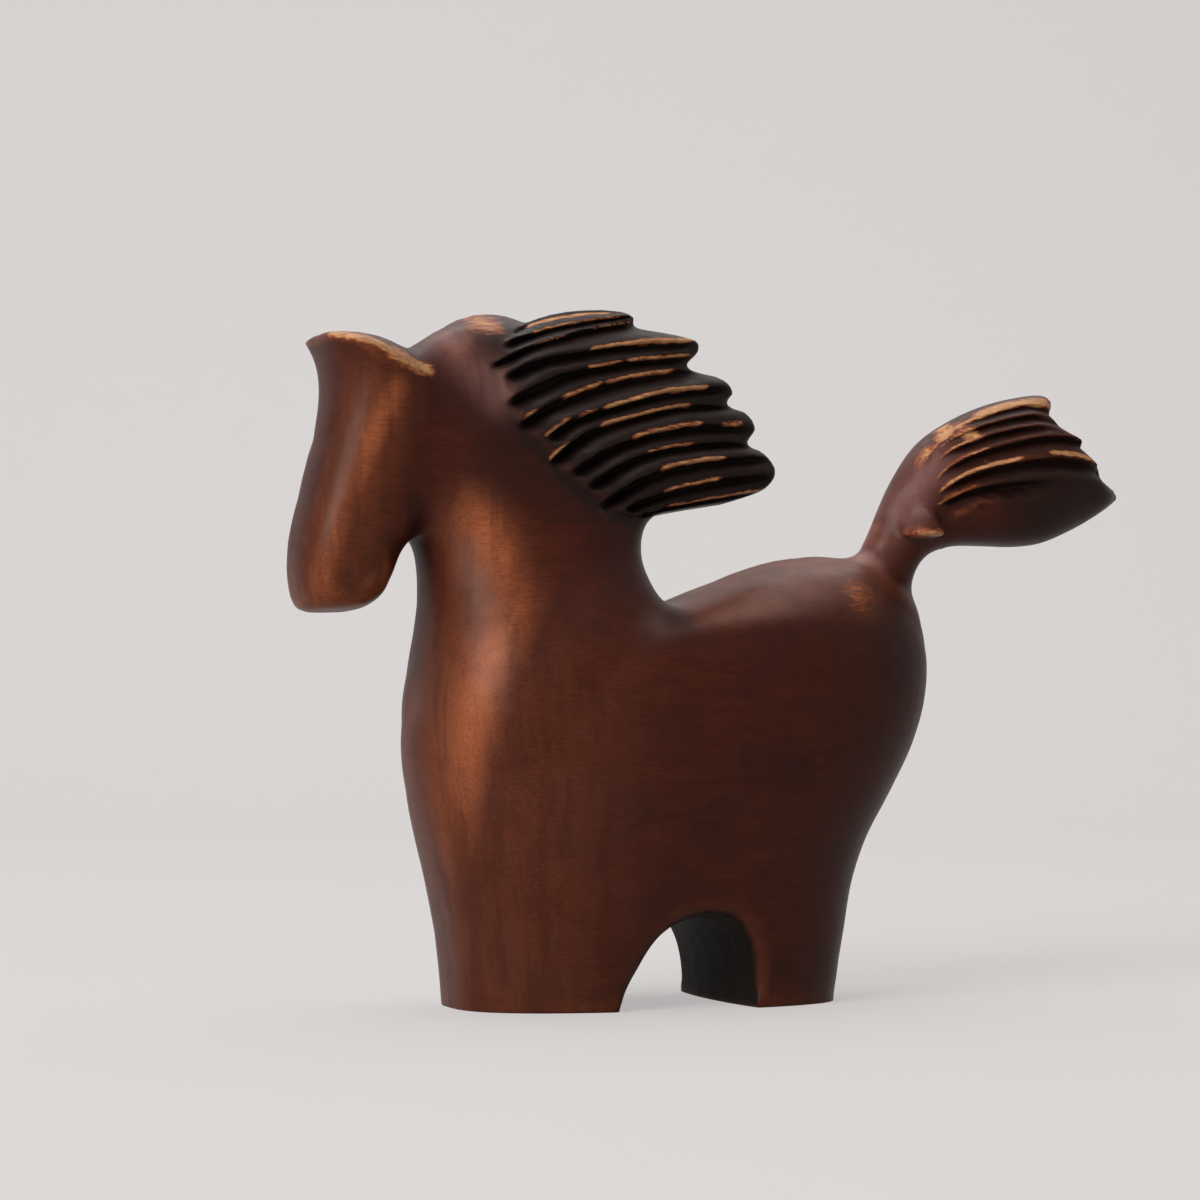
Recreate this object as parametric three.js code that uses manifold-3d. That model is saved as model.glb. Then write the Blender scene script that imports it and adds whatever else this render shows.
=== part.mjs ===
// Carved wooden horse figurine, in millimetres.
// Z is up, the nose points along -Y and the left flank faces +X. The two halves are alike about X = 0.
// Four blanks are glued up and carved as one: body, head, mane and tail. Hidden dowels cross each glue line.

import * as THREE from 'three';
import Module from 'manifold-3d';
import { LoftGeometry } from 'three/addons/geometries/LoftGeometry.js';
import { mergeVertices } from 'three/addons/utils/BufferGeometryUtils.js';

// Main sizes: along the horse from the nose to the chest, the withers, the rump and the tail's end, up from
// the floor to the top of the legs, the withers and the top of the mane, and across its widest forms.

const HEAD_REACH = 23;
const NECK_LENGTH = 53;
const BACK_LENGTH = 57;
const TAIL_REACH = 47;
const LEG_HEIGHT = 24;
const TRUNK_HEIGHT = 48;
const NECK_HEIGHT = 66;
const BODY_WIDTH = 58;
const HEAD_WIDTH = 37.2;
const TAIL_WIDTH = 20.4;

// Places in side view are stations [along, up], so that every form follows the main sizes. Along, 0 is the
// nose, 1 the chest, 2 the withers, 3 the rump and 4 the tail's end. Up, 0 is the floor, 1 the top of the
// legs, 2 the withers and 3 the top of the mane. A fraction is a share of the way to the next station.

const LENGTHS = [HEAD_REACH, NECK_LENGTH, BACK_LENGTH, TAIL_REACH];
const HEIGHTS = [LEG_HEIGHT, TRUNK_HEIGHT, NECK_HEIGHT];

function stationPlace(sizes, station) {
  const region = Math.min(Math.max(Math.floor(station), 0), sizes.length - 1);
  const before = sizes.slice(0, region).reduce((sum, size) => sum + size, 0);
  return before + sizes[region] * (station - region);
}

// Side view in millimetres, from stations
const sideView = ([along, up]) => [stationPlace(LENGTHS, along), stationPlace(HEIGHTS, up)];
const glueLine = (from, to) => ({ from: sideView(from), to: sideView(to) });
const byStrand = (rows) => rows.map(([strand, ...station]) => [strand, ...sideView(station)]);

// Glue lines and dowels

const GLUE_GAP = 0.3;
const DOWEL_CLEARANCE = 0.3;
const DOWEL_END_GAP = 1;
const DOWEL_CHAMFER = 0.6;
const NECK_DOWEL_DIAMETER = 6;
const NECK_DOWEL_LENGTH = 18;
const TAIL_DOWEL_DIAMETER = 4;
const TAIL_DOWEL_LENGTH = 15;

// Each glue line is straight in side view and runs between two stations, with the glued blank on its right:
// from poll to throat, from withers to crest, and from behind the tail to in front of it.
const HEAD_GLUE_LINE = glueLine([1.015, 2.873], [0.983, 2.294]);
const MANE_GLUE_LINE = glueLine([1.936, 2.373], [1.189, 2.976]);
const TAIL_GLUE_LINE = glueLine([2.989, 2.217], [2.761, 2.279]);

// Region that each glued blank fills, from corner to corner in side view. It holds no wood of the body
// beyond the glue line.
const HEAD_REGION = [[-0.22, 2], [1.13, 3.03]].map(sideView);
const MANE_REGION = [[1.09, 2.358], [2.6, 3.11]].map(sideView);
const TAIL_REGION = [[2.744, 2.15], [4.11, 2.88]].map(sideView);

// Sections of the carving: the stations of its front and its back, its share of the form's full width, how
// square it is (2 is an ellipse), how far its middle is crowned upwards in millimetres, and by what share it
// tapers from front to back.

const FOOT_CHAMFER = 0.7;

const TRUNK_SECTIONS = [
  { front: [1.162, 0], back: [2.625, 0], width: 0.759, squareness: 2.8, crown: 0 },
  { front: [1.153, 0.292], back: [2.637, 0.292], width: 0.779, squareness: 2.8, crown: 0 },
  { front: [1.136, 0.625], back: [2.658, 0.625], width: 0.821, squareness: 2.8, crown: 0 },
  { front: [1.102, 1], back: [2.686, 1], width: 0.876, squareness: 2.7, crown: 0 },
  { front: [1.06, 1.188], back: [2.744, 1.188], width: 0.931, squareness: 2.6, crown: 0 },
  { front: [1.023, 1.375], back: [2.837, 1.375], width: 0.979, squareness: 2.5, crown: 0 },
  { front: [1, 1.583], back: [2.933, 1.583], width: 1, squareness: 2.4, crown: 0 },
  { front: [1.019, 1.75], back: [2.982, 1.771], width: 0.986, squareness: 2.4, crown: 0 },
  { front: [1.083, 1.875], back: [2.993, 1.938], width: 0.938, squareness: 2.4, crown: 0.6 },
  { front: [1.208, 1.938], back: [2.981, 2.064], width: 0.841, squareness: 2.3, crown: 2.4 },
  { front: [1.396, 1.95], back: [2.961, 2.142], width: 0.69, squareness: 2.3, crown: 3.8 },
  { front: [1.642, 1.958], back: [2.933, 2.191], width: 0.497, squareness: 2.2, crown: 6.3 },
  { front: [1.849, 2.035], back: [2.902, 2.224], width: 0.29, squareness: 2.2, crown: 6 },
  { front: [1.991, 2.085], back: [2.868, 2.252], width: 0, squareness: 2.2, crown: 5.8 },
];

const NECK_SECTIONS = [
  { front: [1.038, 1.458], back: [2.105, 1.625], width: 0.897, squareness: 2.4, crown: 0 },
  { front: [1.011, 1.688], back: [2.077, 1.854], width: 0.91, squareness: 2.4, crown: 0 },
  { front: [1.034, 1.917], back: [2.028, 2.036], width: 0.841, squareness: 2.4, crown: 0 },
  { front: [1.057, 2.076], back: [1.951, 2.152], width: 0.71, squareness: 2.4, crown: 0 },
  { front: [1.053, 2.212], back: [1.898, 2.258], width: 0.593, squareness: 2.3, crown: 0 },
  { front: [1.011, 2.333], back: [1.917, 2.358], width: 0.528, squareness: 2.3, crown: 0 },
  { front: [0.843, 2.464], back: [1.872, 2.476], width: 0.493, squareness: 2.5, crown: 0 },
  { front: [0.696, 2.6], back: [1.785, 2.615], width: 0.469, squareness: 2.7, crown: 0 },
  { front: [0.696, 2.735], back: [1.679, 2.758], width: 0.441, squareness: 2.8, crown: 0 },
  { front: [0.887, 2.833], back: [1.574, 2.879], width: 0.379, squareness: 2.5, crown: 0.4 },
  { front: [1.068, 2.903], back: [1.498, 2.939], width: 0.262, squareness: 2.3, crown: 1 },
  { front: [1.14, 2.939], back: [1.453, 2.961], width: 0, squareness: 2.2, crown: 2.2 },
];

const FACE_SECTIONS = [
  { front: [0.157, 2.082], back: [0.435, 2.085], width: 0, squareness: 2.4, crown: 0 },
  { front: [0.061, 2.094], back: [0.609, 2.103], width: 0.419, squareness: 2.5, crown: 0 },
  { front: [0.017, 2.127], back: [0.713, 2.136], width: 0.559, squareness: 2.7, crown: 0 },
  { front: [-0.009, 2.188], back: [0.817, 2.197], width: 0.634, squareness: 2.8, crown: 0 },
  { front: [-0.009, 2.258], back: [0.896, 2.265], width: 0.688, squareness: 2.8, crown: 0, taper: 0.06 },
  { front: [0.022, 2.333], back: [1.03, 2.333], width: 0.731, squareness: 2.8, crown: 0, taper: 0.14 },
  { front: [0.091, 2.439], back: [1.17, 2.424], width: 0.785, squareness: 2.7, crown: 0, taper: 0.24 },
  { front: [0.178, 2.561], back: [1.283, 2.545], width: 0.839, squareness: 2.6, crown: 0, taper: 0.34 },
  { front: [0.257, 2.682], back: [1.358, 2.614], width: 0.882, squareness: 2.6, crown: 0, taper: 0.44 },
  { front: [0.27, 2.788], back: [1.321, 2.652], width: 0.925, squareness: 2.6, crown: 0.6, taper: 0.52 },
  { front: [0.222, 2.855], back: [1.264, 2.674], width: 0.968, squareness: 2.6, crown: 1.6, taper: 0.58 },
  { front: [0.157, 2.897], back: [1.198, 2.691], width: 1, squareness: 2.6, crown: 2.2, taper: 0.6 },
];

const BROW_SECTIONS = [
  { front: [0.157, 2.897], back: [1.198, 2.691], width: 1, squareness: 2.6, crown: 2.2, taper: 0.6 },
  { front: [0.191, 2.902], back: [1.189, 2.727], width: 0.677, squareness: 2.5, crown: 3.3, taper: 0.5 },
  { front: [0.217, 2.903], back: [1.179, 2.75], width: 0.344, squareness: 2.4, crown: 3.6, taper: 0.3 },
  { front: [0.235, 2.902], back: [1.17, 2.758], width: 0, squareness: 2.4, crown: 3.8, taper: 0.3 },
];

const TAIL_SECTIONS = [
  { front: [2.719, 2.152], back: [2.958, 2.091], width: 0.725, squareness: 2.2, crown: 0 },
  { front: [2.768, 2.27], back: [2.975, 2.212], width: 0.569, squareness: 2.2, crown: 0 },
  { front: [2.814, 2.348], back: [3.038, 2.279], width: 0.549, squareness: 2.2, crown: 0 },
  { front: [2.853, 2.424], back: [3.157, 2.309], width: 0.647, squareness: 2.2, crown: 0 },
  { front: [2.907, 2.515], back: [3.319, 2.312], width: 0.804, squareness: 2.2, crown: 0 },
  { front: [3.004, 2.63], back: [3.468, 2.311], width: 0.941, squareness: 2.2, crown: 0 },
  { front: [3.162, 2.706], back: [3.596, 2.323], width: 1, squareness: 2.2, crown: 0 },
  { front: [3.332, 2.758], back: [3.702, 2.352], width: 0.98, squareness: 2.2, crown: 0 },
  { front: [3.489, 2.785], back: [3.809, 2.388], width: 0.863, squareness: 2.2, crown: 0 },
  { front: [3.617, 2.791], back: [3.915, 2.43], width: 0.627, squareness: 2.2, crown: 0 },
  { front: [3.672, 2.773], back: [3.996, 2.464], width: 0, squareness: 2.2, crown: 0 },
];

// Mane: strands run from the root line to the tip line. Both are given by strand number, as [strand, along,
// up], counted from the top edge down, and a crest stands at each whole number.

const MANE_STRANDS = 13;
const MANE_GROOVE_DEPTH = 1.5;
const MANE_TIP_THICKNESS = 10;
const MANE_ROOT_RISE = 1.6;
const MANE_TOP_LIFT = 1.7;

// Where each strand bends, as [strand, share of its reach, share of its climb]
const MANE_BENDS = [
  [0, 0.4, 0.9],
  [2, 0.45, 0.7],
  [3, 0.26, 0.74],
  [5, 0.28, 0.68],
  [6, 0.32, 0.76],
  [7, 0.24, 0.83],
  [9, 0.3, 1],
  [10, 0.34, 1],
  [11, 0.22, 0.76],
  [12, 0.12, 0.36],
  [13, 0.4, 0.5],
];

// Shares of a strand's length over which it leaves the neck and its grooves deepen, and of a groove's width
// that its steep side takes.
const MANE_ROOT_RUN = 0.1;
const MANE_GROOVE_RUN_IN = 0.12;
const GROOVE_STEEP_SHARE = 0.3;

const MANE_ROOTS = [
  [0, 1.405, 2.936],
  [1, 1.29, 2.87],
  [3, 1.271, 2.77],
  [5, 1.341, 2.636],
  [7, 1.465, 2.533],
  [9, 1.586, 2.442],
  [11, 1.745, 2.377],
  [13, 1.928, 2.379],
];

const MANE_TIPS = [
  [0, 1.858, 3.006],
  [1.6, 1.902, 2.985],
  [2.4, 1.885, 2.961],
  [2.9, 2.119, 2.933],
  [3.6, 2.149, 2.898],
  [5, 2.105, 2.839],
  [5.6, 2.232, 2.814],
  [6.4, 2.281, 2.77],
  [7, 2.246, 2.732],
  [7.5, 2.326, 2.712],
  [8.2, 2.367, 2.661],
  [9, 2.33, 2.614],
  [9.6, 2.391, 2.591],
  [10.8, 2.444, 2.535],
  [12, 2.396, 2.474],
  [13, 2.228, 2.424],
];

// Thickness of the mane at its roots, as [strand, share of the body's width].
const MANE_ROOT_WIDTHS = [
  [0, 0.276],
  [2, 0.428],
  [6, 0.497],
  [9, 0.517],
  [13, 0.497],
];

// Tail: a fan whose end settles onto the tips of its strands, and a small domed curl, flat underneath, on
// each side of its root.

const TAIL_STRANDS = 7;
const TAIL_SETTLE_START = 0.75;
const TAIL_CURL = { station: [2.954, 2.333], width: 0.86, radii: [4.8, 4.2, 7] };

// Grooves on both sides of the fan, from the top one down. Each starts a share of the way along the tail and
// then moves from one share of the way across it to another at the end of the fan, where 0 is the tail's
// front edge and 1 its back edge. A run below 1 is the share of its length at which it has faded out.
const TAIL_GROOVES = [
  { start: 0.59, across: [0.06, 0.1], run: 1 },
  { start: 0.53, across: [0.08, 0.24], run: 1 },
  { start: 0.48, across: [0.14, 0.32], run: 0.8 },
  { start: 0.44, across: [0.22, 0.4], run: 1 },
  { start: 0.4, across: [0.3, 0.63], run: 1 },
  { start: 0.35, across: [0.36, 0.82], run: 0.7 },
];
const TAIL_GROOVE_DEPTH = 1.5;
const TAIL_GROOVE_RUN_IN = 0.12;
const TAIL_GROOVE_SLOW_SHARE = 0.7;

// Share of the fan's thickness that the grooves always leave
const TAIL_LEAST_SHARE = 0.3;

// Ends of the tail's strands, as [strand, along, up], from the top of the fan down.
const TAIL_TIPS = [
  [0, 3.664, 2.779],
  [0.7, 3.655, 2.703],
  [1.5, 3.732, 2.658],
  [2.3, 3.802, 2.648],
  [2.8, 3.813, 2.621],
  [3.8, 3.894, 2.57],
  [4.5, 3.911, 2.533],
  [5.8, 3.979, 2.494],
  [7, 3.991, 2.467],
];

// Arch between the foot blocks, in side view at the flank, from the front foot to the rear foot.

const ARCH_OUTLINE = [
  [1.683, 0],
  [1.755, 0.308],
  [1.853, 0.625],
  [2.007, 0.775],
  [2.133, 0.717],
  [2.2, 0.475],
  [2.228, 0],
];
const ARCH_FLARE = 0.12;

// Finish of each blank

const STAIN = new THREE.MeshStandardMaterial({ color: 0x5a2c20, roughness: 0.42, metalness: 0 });
const FACE_STAIN = new THREE.MeshStandardMaterial({ color: 0x62301f, roughness: 0.42, metalness: 0 });
const MANE_STAIN = new THREE.MeshStandardMaterial({ color: 0x2c1a17, roughness: 0.5, metalness: 0 });
const TAIL_STAIN = new THREE.MeshStandardMaterial({ color: 0x4a2a26, roughness: 0.48, metalness: 0 });
const BARE_WOOD = new THREE.MeshStandardMaterial({ color: 0xc79a63, roughness: 0.7, metalness: 0 });

// Counts that only set how finely the surfaces are faceted

const SECTION_POINTS = 60;
const TAIL_BAND_POINTS = [4, 3, 3, 3, 4, 4, 8];
const STEPS_PER_SECTION = 3;
const MANE_ROWS = 18;
const POINTS_PER_STRAND = 4;
const ARCH_POINTS = 32;
const ARCH_RINGS = 8;
const DOWEL_SIDES = 20;
const WELD_DISTANCE = 1e-4;

const wasm = await Module();
wasm.setup();

// Closed geometry to solid and back

function solidFrom(geometry) {
  const bare = new THREE.BufferGeometry();
  bare.setAttribute('position', geometry.attributes.position);
  bare.setIndex(geometry.index);
  const merged = mergeVertices(bare, WELD_DISTANCE);
  const corners = merged.index.array;
  const kept = [];
  for (let i = 0; i < corners.length; i += 3) {
    const [a, b, c] = [corners[i], corners[i + 1], corners[i + 2]];
    if (a !== b && b !== c && c !== a) kept.push(a, b, c);
  }
  const mesh = new wasm.Mesh({
    numProp: 3,
    vertProperties: new Float32Array(merged.attributes.position.array),
    triVerts: new Uint32Array(kept),
  });
  return new wasm.Manifold(mesh);
}

function geometryFrom(solid) {
  const mesh = solid.getMesh();
  const geometry = new THREE.BufferGeometry();
  geometry.setAttribute('position', new THREE.BufferAttribute(mesh.vertProperties, 3));
  geometry.setIndex(new THREE.BufferAttribute(mesh.triVerts, 1));
  geometry.computeVertexNormals();
  return geometry;
}

// Value of a list of [place, value, ...] rows at a place, smooth through every row

function valueAt(rows, place) {
  const last = rows.length - 1;
  let i = 0;
  while (i < last - 1 && place > rows[i + 1][0]) i += 1;
  const before = rows[Math.max(i - 1, 0)];
  const [start, end] = rows.slice(i, i + 2);
  const after = rows[Math.min(i + 2, last)];
  const span = end[0] - start[0];
  const t = (place - start[0]) / span;
  return start.slice(1).map((value, k) => {
    const target = end[k + 1];
    const startSlope = (target - before[k + 1]) / (end[0] - before[0]);
    const endSlope = (after[k + 1] - value) / (after[0] - start[0]);
    const settle = t * t * (3 - 2 * t);
    const leave = t * (1 - t) * (1 - t) * span * startSlope;
    const arrive = t * t * (1 - t) * span * endSlope;
    return value + (target - value) * settle + leave - arrive;
  });
}

// Sections in millimetres, from stations and shares of the form's full width

function drawn(sections, fullWidth) {
  return sections.map(({ front, back, width, ...shape }) => ({
    ...shape,
    front: sideView(front),
    back: sideView(back),
    halfWidth: (width * fullWidth) / 2,
  }));
}

// Sections between the ones given, by a smooth curve through each of their measures

function smoothSections(sections, steps = STEPS_PER_SECTION) {
  const curve = (pick) => new THREE.CatmullRomCurve3(sections.map((each) => new THREE.Vector3(...pick(each))));
  const front = curve((each) => [0, ...each.front]);
  const back = curve((each) => [0, ...each.back]);
  const shape = curve((each) => [each.halfWidth, each.squareness, each.crown]);
  const taper = curve((each) => [each.taper ?? 0, 0, 0]);
  const count = (sections.length - 1) * steps;
  return Array.from({ length: count + 1 }, (_, i) => {
    const t = i / count;
    const [f, b, s, w] = [front, back, shape, taper].map((each) => each.getPoint(t));
    const halfWidth = Math.max(s.x, 0);
    return { front: [f.y, f.z], back: [b.y, b.z], halfWidth, squareness: s.y, crown: s.z, taper: w.x };
  });
}

// Ring of points round one section. Across is -1 at its front and +1 at its back.

function sectionRing(section, count = SECTION_POINTS) {
  const { front, back, halfWidth, squareness, crown, taper = 0 } = section;
  return Array.from({ length: count }, (_, i) => {
    const turn = (i / count) * Math.PI * 2;
    const round = (value) => Math.sign(value) * Math.abs(value) ** (2 / squareness);
    const across = -round(Math.cos(turn));
    const side = Math.abs(Math.sin(turn)) < 1e-9 ? 0 : round(Math.sin(turn));
    const share = (across + 1) / 2;
    const x = side * halfWidth * (1 - taper * share);
    const y = front[0] + (back[0] - front[0]) * share;
    const z = front[1] + (back[1] - front[1]) * share + crown * (1 - across * across);
    return new THREE.Vector3(x, y, z);
  });
}

// Solid through a row of rings, whichever way round they were drawn

function loft(rings, capStart, capEnd) {
  const middle = Math.floor(rings.length / 2);
  const centre = (ring) => ring.reduce((sum, p) => sum.add(p), new THREE.Vector3()).divideScalar(ring.length);
  const ring = rings[middle];
  const area = new THREE.Vector3();
  ring.forEach((point, i) => area.add(point.clone().cross(ring[(i + 1) % ring.length])));
  const onward = centre(rings[middle + 1]).sub(centre(rings[middle - 1]));
  const turned = area.dot(onward) < 0 ? rings.map((each) => [...each].reverse()) : rings;
  return solidFrom(new LoftGeometry(turned, { capStart, capEnd }));
}

// Trunk with both foot blocks, closed below by its flat foot

function trunk() {
  const [lowest, ...above] = drawn(TRUNK_SECTIONS, BODY_WIDTH);
  const sole = {
    ...lowest,
    front: [lowest.front[0] + FOOT_CHAMFER, 0],
    back: [lowest.back[0] - FOOT_CHAMFER, 0],
    halfWidth: lowest.halfWidth - FOOT_CHAMFER,
  };
  const edge = { ...lowest, front: [lowest.front[0], FOOT_CHAMFER], back: [lowest.back[0], FOOT_CHAMFER] };
  const sections = [sole, ...smoothSections([edge, ...above])];
  return loft(sections.map((section) => sectionRing(section)), true, false);
}

// Tunnel of the arch, a little wider at the flanks than in the middle

function archTunnel() {
  const flank = (TRUNK_SECTIONS[0].width * BODY_WIDTH) / 2;
  const corners = ARCH_OUTLINE.map((station) => new THREE.Vector3(0, ...sideView(station)));
  const outline = new THREE.CatmullRomCurve3(corners).getPoints(ARCH_POINTS);
  const first = outline[0];
  const last = outline[outline.length - 1];
  const centre = (first.y + last.y) / 2;
  const below = -flank;
  const closed = [...outline, new THREE.Vector3(0, last.y, below), new THREE.Vector3(0, first.y, below)];
  const reach = flank * 1.5;
  const rings = Array.from({ length: ARCH_RINGS + 1 }, (_, i) => {
    const x = -reach + (2 * reach * i) / ARCH_RINGS;
    const scale = 1 - ARCH_FLARE + ARCH_FLARE * (x / flank) ** 2;
    return closed.map((p) => new THREE.Vector3(x, centre + (p.y - centre) * scale, p.z * scale));
  });
  return loft(rings, true, true);
}

function neck() {
  const sections = smoothSections(drawn(NECK_SECTIONS, BODY_WIDTH));
  return loft(sections.map((section) => sectionRing(section)), true, false);
}

// Head from the muzzle up to the flared brow, closed by the low roof between brow and poll

function head() {
  const face = smoothSections(drawn(FACE_SECTIONS, HEAD_WIDTH));
  const brow = smoothSections(drawn(BROW_SECTIONS, HEAD_WIDTH)).slice(1);
  return loft([...face, ...brow].map((section) => sectionRing(section)), false, false);
}

// Mane: one strand's path is a quadratic curve that climbs fast from its root and then more slowly

const maneRoots = byStrand(MANE_ROOTS);
const maneTips = byStrand(MANE_TIPS);

function manePoint(along, strand) {
  const root = valueAt(maneRoots, strand);
  const tip = valueAt(maneTips, strand);
  const [reach, climb] = valueAt(MANE_BENDS, strand);
  const lift = MANE_TOP_LIFT * Math.max(1 - strand, 0);
  const bend = [root[0] + (tip[0] - root[0]) * reach, root[1] + (tip[1] - root[1]) * climb + lift];
  const rest = 1 - along;
  return [0, 1].map((k) => rest * rest * root[k] + 2 * along * rest * bend[k] + along * along * tip[k]);
}

// Depth of a groove beside a crest: steep just under the crest, then a slow rise to the next one

function groove(place) {
  const part = place - Math.floor(place);
  const steep = GROOVE_STEEP_SHARE;
  const turn = part < steep ? part / steep - 1 : (part - steep) / (1 - steep);
  return Math.cos((turn * Math.PI) / 2);
}

function maneHalfThickness(along, strand) {
  const rootHalf = (valueAt(MANE_ROOT_WIDTHS, strand)[0] * BODY_WIDTH) / 2;
  const edge = (1 - Math.abs((2 * strand) / MANE_STRANDS - 1) ** 3) ** (1 / 3);
  const body = rootHalf + (MANE_TIP_THICKNESS / 2 - rootHalf) * along;
  const rise = MANE_ROOT_RISE * Math.max(1 - along / MANE_ROOT_RUN, 0);
  const end = Math.sqrt(1 - along ** 8);
  const depth = MANE_GROOVE_DEPTH * Math.min(along / MANE_GROOVE_RUN_IN, 1) * end;
  return Math.max((body - rise) * edge * end - depth * groove(strand) * edge, 0);
}

function mane() {
  const perSide = MANE_STRANDS * POINTS_PER_STRAND;
  const rings = Array.from({ length: MANE_ROWS + 1 }, (_, row) => {
    const along = Math.sin((row / MANE_ROWS) * Math.PI / 2);
    return Array.from({ length: 2 * perSide }, (_unused, i) => {
      const near = i <= perSide;
      const strand = (near ? i : 2 * perSide - i) / POINTS_PER_STRAND;
      const [y, z] = manePoint(along, strand);
      const half = maneHalfThickness(along, strand);
      return new THREE.Vector3(near ? half : -half, y, z);
    });
  });
  return loft(rings, true, false);
}

// Tail: rings of points that lie evenly between its edges at the root, and between its grooves on the fan

function tailBounds(along) {
  const even = (index) => (index + 1) / (TAIL_GROOVES.length + 1);
  const inner = TAIL_GROOVES.map(({ start, across }, index) => {
    if (along < start) return THREE.MathUtils.lerp(even(index), across[0], along / start);
    return THREE.MathUtils.lerp(across[0], across[1], (along - start) / (1 - start));
  });
  return [0, ...inner, 1];
}

function tailGrooveDepth(along, index) {
  if (index < 0 || index >= TAIL_GROOVES.length) return 0;
  const { start, run } = TAIL_GROOVES[index];
  const runIn = THREE.MathUtils.smoothstep(along, start, start + TAIL_GROOVE_RUN_IN);
  const end = start + (1 - start) * run;
  const runOut = run < 1 ? 1 - THREE.MathUtils.smoothstep(along, (start + end) / 2, end) : 1;
  return TAIL_GROOVE_DEPTH * runIn * runOut;
}

// One side of a ring, front to back, as [share of the way across, depth of the cut]
function tailProfile(along) {
  const bounds = tailBounds(along);
  const wave = (part) => Math.cos((Math.min(part, 1) * Math.PI) / 2);
  return TAIL_BAND_POINTS.flatMap((count, band) => {
    const last = band === TAIL_BAND_POINTS.length - 1;
    return Array.from({ length: count }, (_, i) => {
      const part = i / count;
      const eased = band === 0 ? 1 - wave(part) : last ? Math.sin((part * Math.PI) / 2) : part;
      const slow = tailGrooveDepth(along, band - 1) * wave(part / TAIL_GROOVE_SLOW_SHARE);
      const steep = tailGrooveDepth(along, band) * wave((1 - part) / GROOVE_STEEP_SHARE);
      return [THREE.MathUtils.lerp(bounds[band], bounds[band + 1], eased), Math.max(slow, steep)];
    });
  });
}

function tailRing(section, along, settle) {
  const { front, back, halfWidth, squareness } = section;
  const profile = tailProfile(along);
  const point = ([share, cut], sign) => {
    const across = Math.abs(2 * share - 1);
    const side = (1 - across ** squareness) ** (1 / squareness);
    const x = sign * side * Math.max(halfWidth - cut, halfWidth * TAIL_LEAST_SHARE);
    const [y, z] = settle(share).map((move, k) => THREE.MathUtils.lerp(front[k], back[k], share) + move);
    return new THREE.Vector3(x, y, z);
  };
  const near = [...profile, [1, 0]].map((each) => point(each, 1));
  const far = profile.slice(1).reverse().map((each) => point(each, -1));
  return [...near, ...far];
}

// The end of the fan settles onto the strands' tips, and each side has a curl at the root

function tail() {
  const sections = smoothSections(drawn(TAIL_SECTIONS, TAIL_WIDTH));
  const tips = byStrand(TAIL_TIPS);
  const last = sections[sections.length - 1];
  const rings = sections.map((section, row) => {
    const along = row / (sections.length - 1);
    const settled = THREE.MathUtils.smoothstep(along, TAIL_SETTLE_START, 1);
    const settle = (share) => valueAt(tips, share * TAIL_STRANDS).map((tip, k) => {
      return (tip - THREE.MathUtils.lerp(last.front[k], last.back[k], share)) * settled;
    });
    return tailRing(section, along, settle);
  });
  return [1, -1].reduce((whole, side) => whole.add(curl(side)), loft(rings, true, false));
}

function curl(side) {
  const { station, width, radii } = TAIL_CURL;
  const [y, z] = sideView(station);
  const geometry = new THREE.SphereGeometry(1, 20, 12);
  geometry.scale(...radii);
  geometry.translate((side * width * TAIL_WIDTH) / 2, y, z);
  return solidFrom(geometry).trimByPlane([0, 0, 1], z);
}

// Wood on the far side of a glue line, moved out by an offset and kept to the glued blank's own region

function blockBeyond({ line, region }, offset) {
  const [[yMin, zMin], [yMax, zMax]] = region;
  const reach = yMax - yMin + zMax - zMin;
  const beyond = new THREE.BoxGeometry(reach, reach, 2 * reach);
  beyond.translate(0, reach / 2 + offset, 0);
  beyond.applyMatrix4(gluePlace(line, 0.5));
  const blank = new THREE.BoxGeometry(2 * BODY_WIDTH, yMax - yMin, zMax - zMin);
  blank.translate(0, (yMin + yMax) / 2, (zMin + zMax) / 2);
  return solidFrom(beyond).intersect(solidFrom(blank));
}

// Direction out of the body into the glued blank, square to the glue line

function outward({ from, to }) {
  return new THREE.Vector3(0, to[1] - from[1], from[0] - to[0]).normalize();
}

// Place on a glue line, a share of the way along it, with +Y turned to point into the glued blank

function gluePlace(line, share) {
  const y = line.from[0] + (line.to[0] - line.from[0]) * share;
  const z = line.from[1] + (line.to[1] - line.from[1]) * share;
  const turn = new THREE.Quaternion().setFromUnitVectors(new THREE.Vector3(0, 1, 0), outward(line));
  return new THREE.Matrix4().compose(new THREE.Vector3(0, y, z), turn, new THREE.Vector3(1, 1, 1));
}

function dowelGeometry(diameter, length, chamfer) {
  const radius = diameter / 2;
  const half = length / 2;
  const profile = [
    [0, -half],
    [radius - chamfer, -half],
    [radius, chamfer - half],
    [radius, half - chamfer],
    [radius - chamfer, half],
    [0, half],
  ];
  return new THREE.LatheGeometry(profile.map(([r, y]) => new THREE.Vector2(r, y)), DOWEL_SIDES);
}

function bore({ diameter, length, place }) {
  const wide = diameter + 2 * DOWEL_CLEARANCE;
  const long = length + 2 * DOWEL_END_GAP;
  return solidFrom(dowelGeometry(wide, long, DOWEL_CHAMFER).applyMatrix4(place));
}

const neckDowel = (line, share) => ({
  diameter: NECK_DOWEL_DIAMETER,
  length: NECK_DOWEL_LENGTH,
  place: gluePlace(line, share),
});

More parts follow.
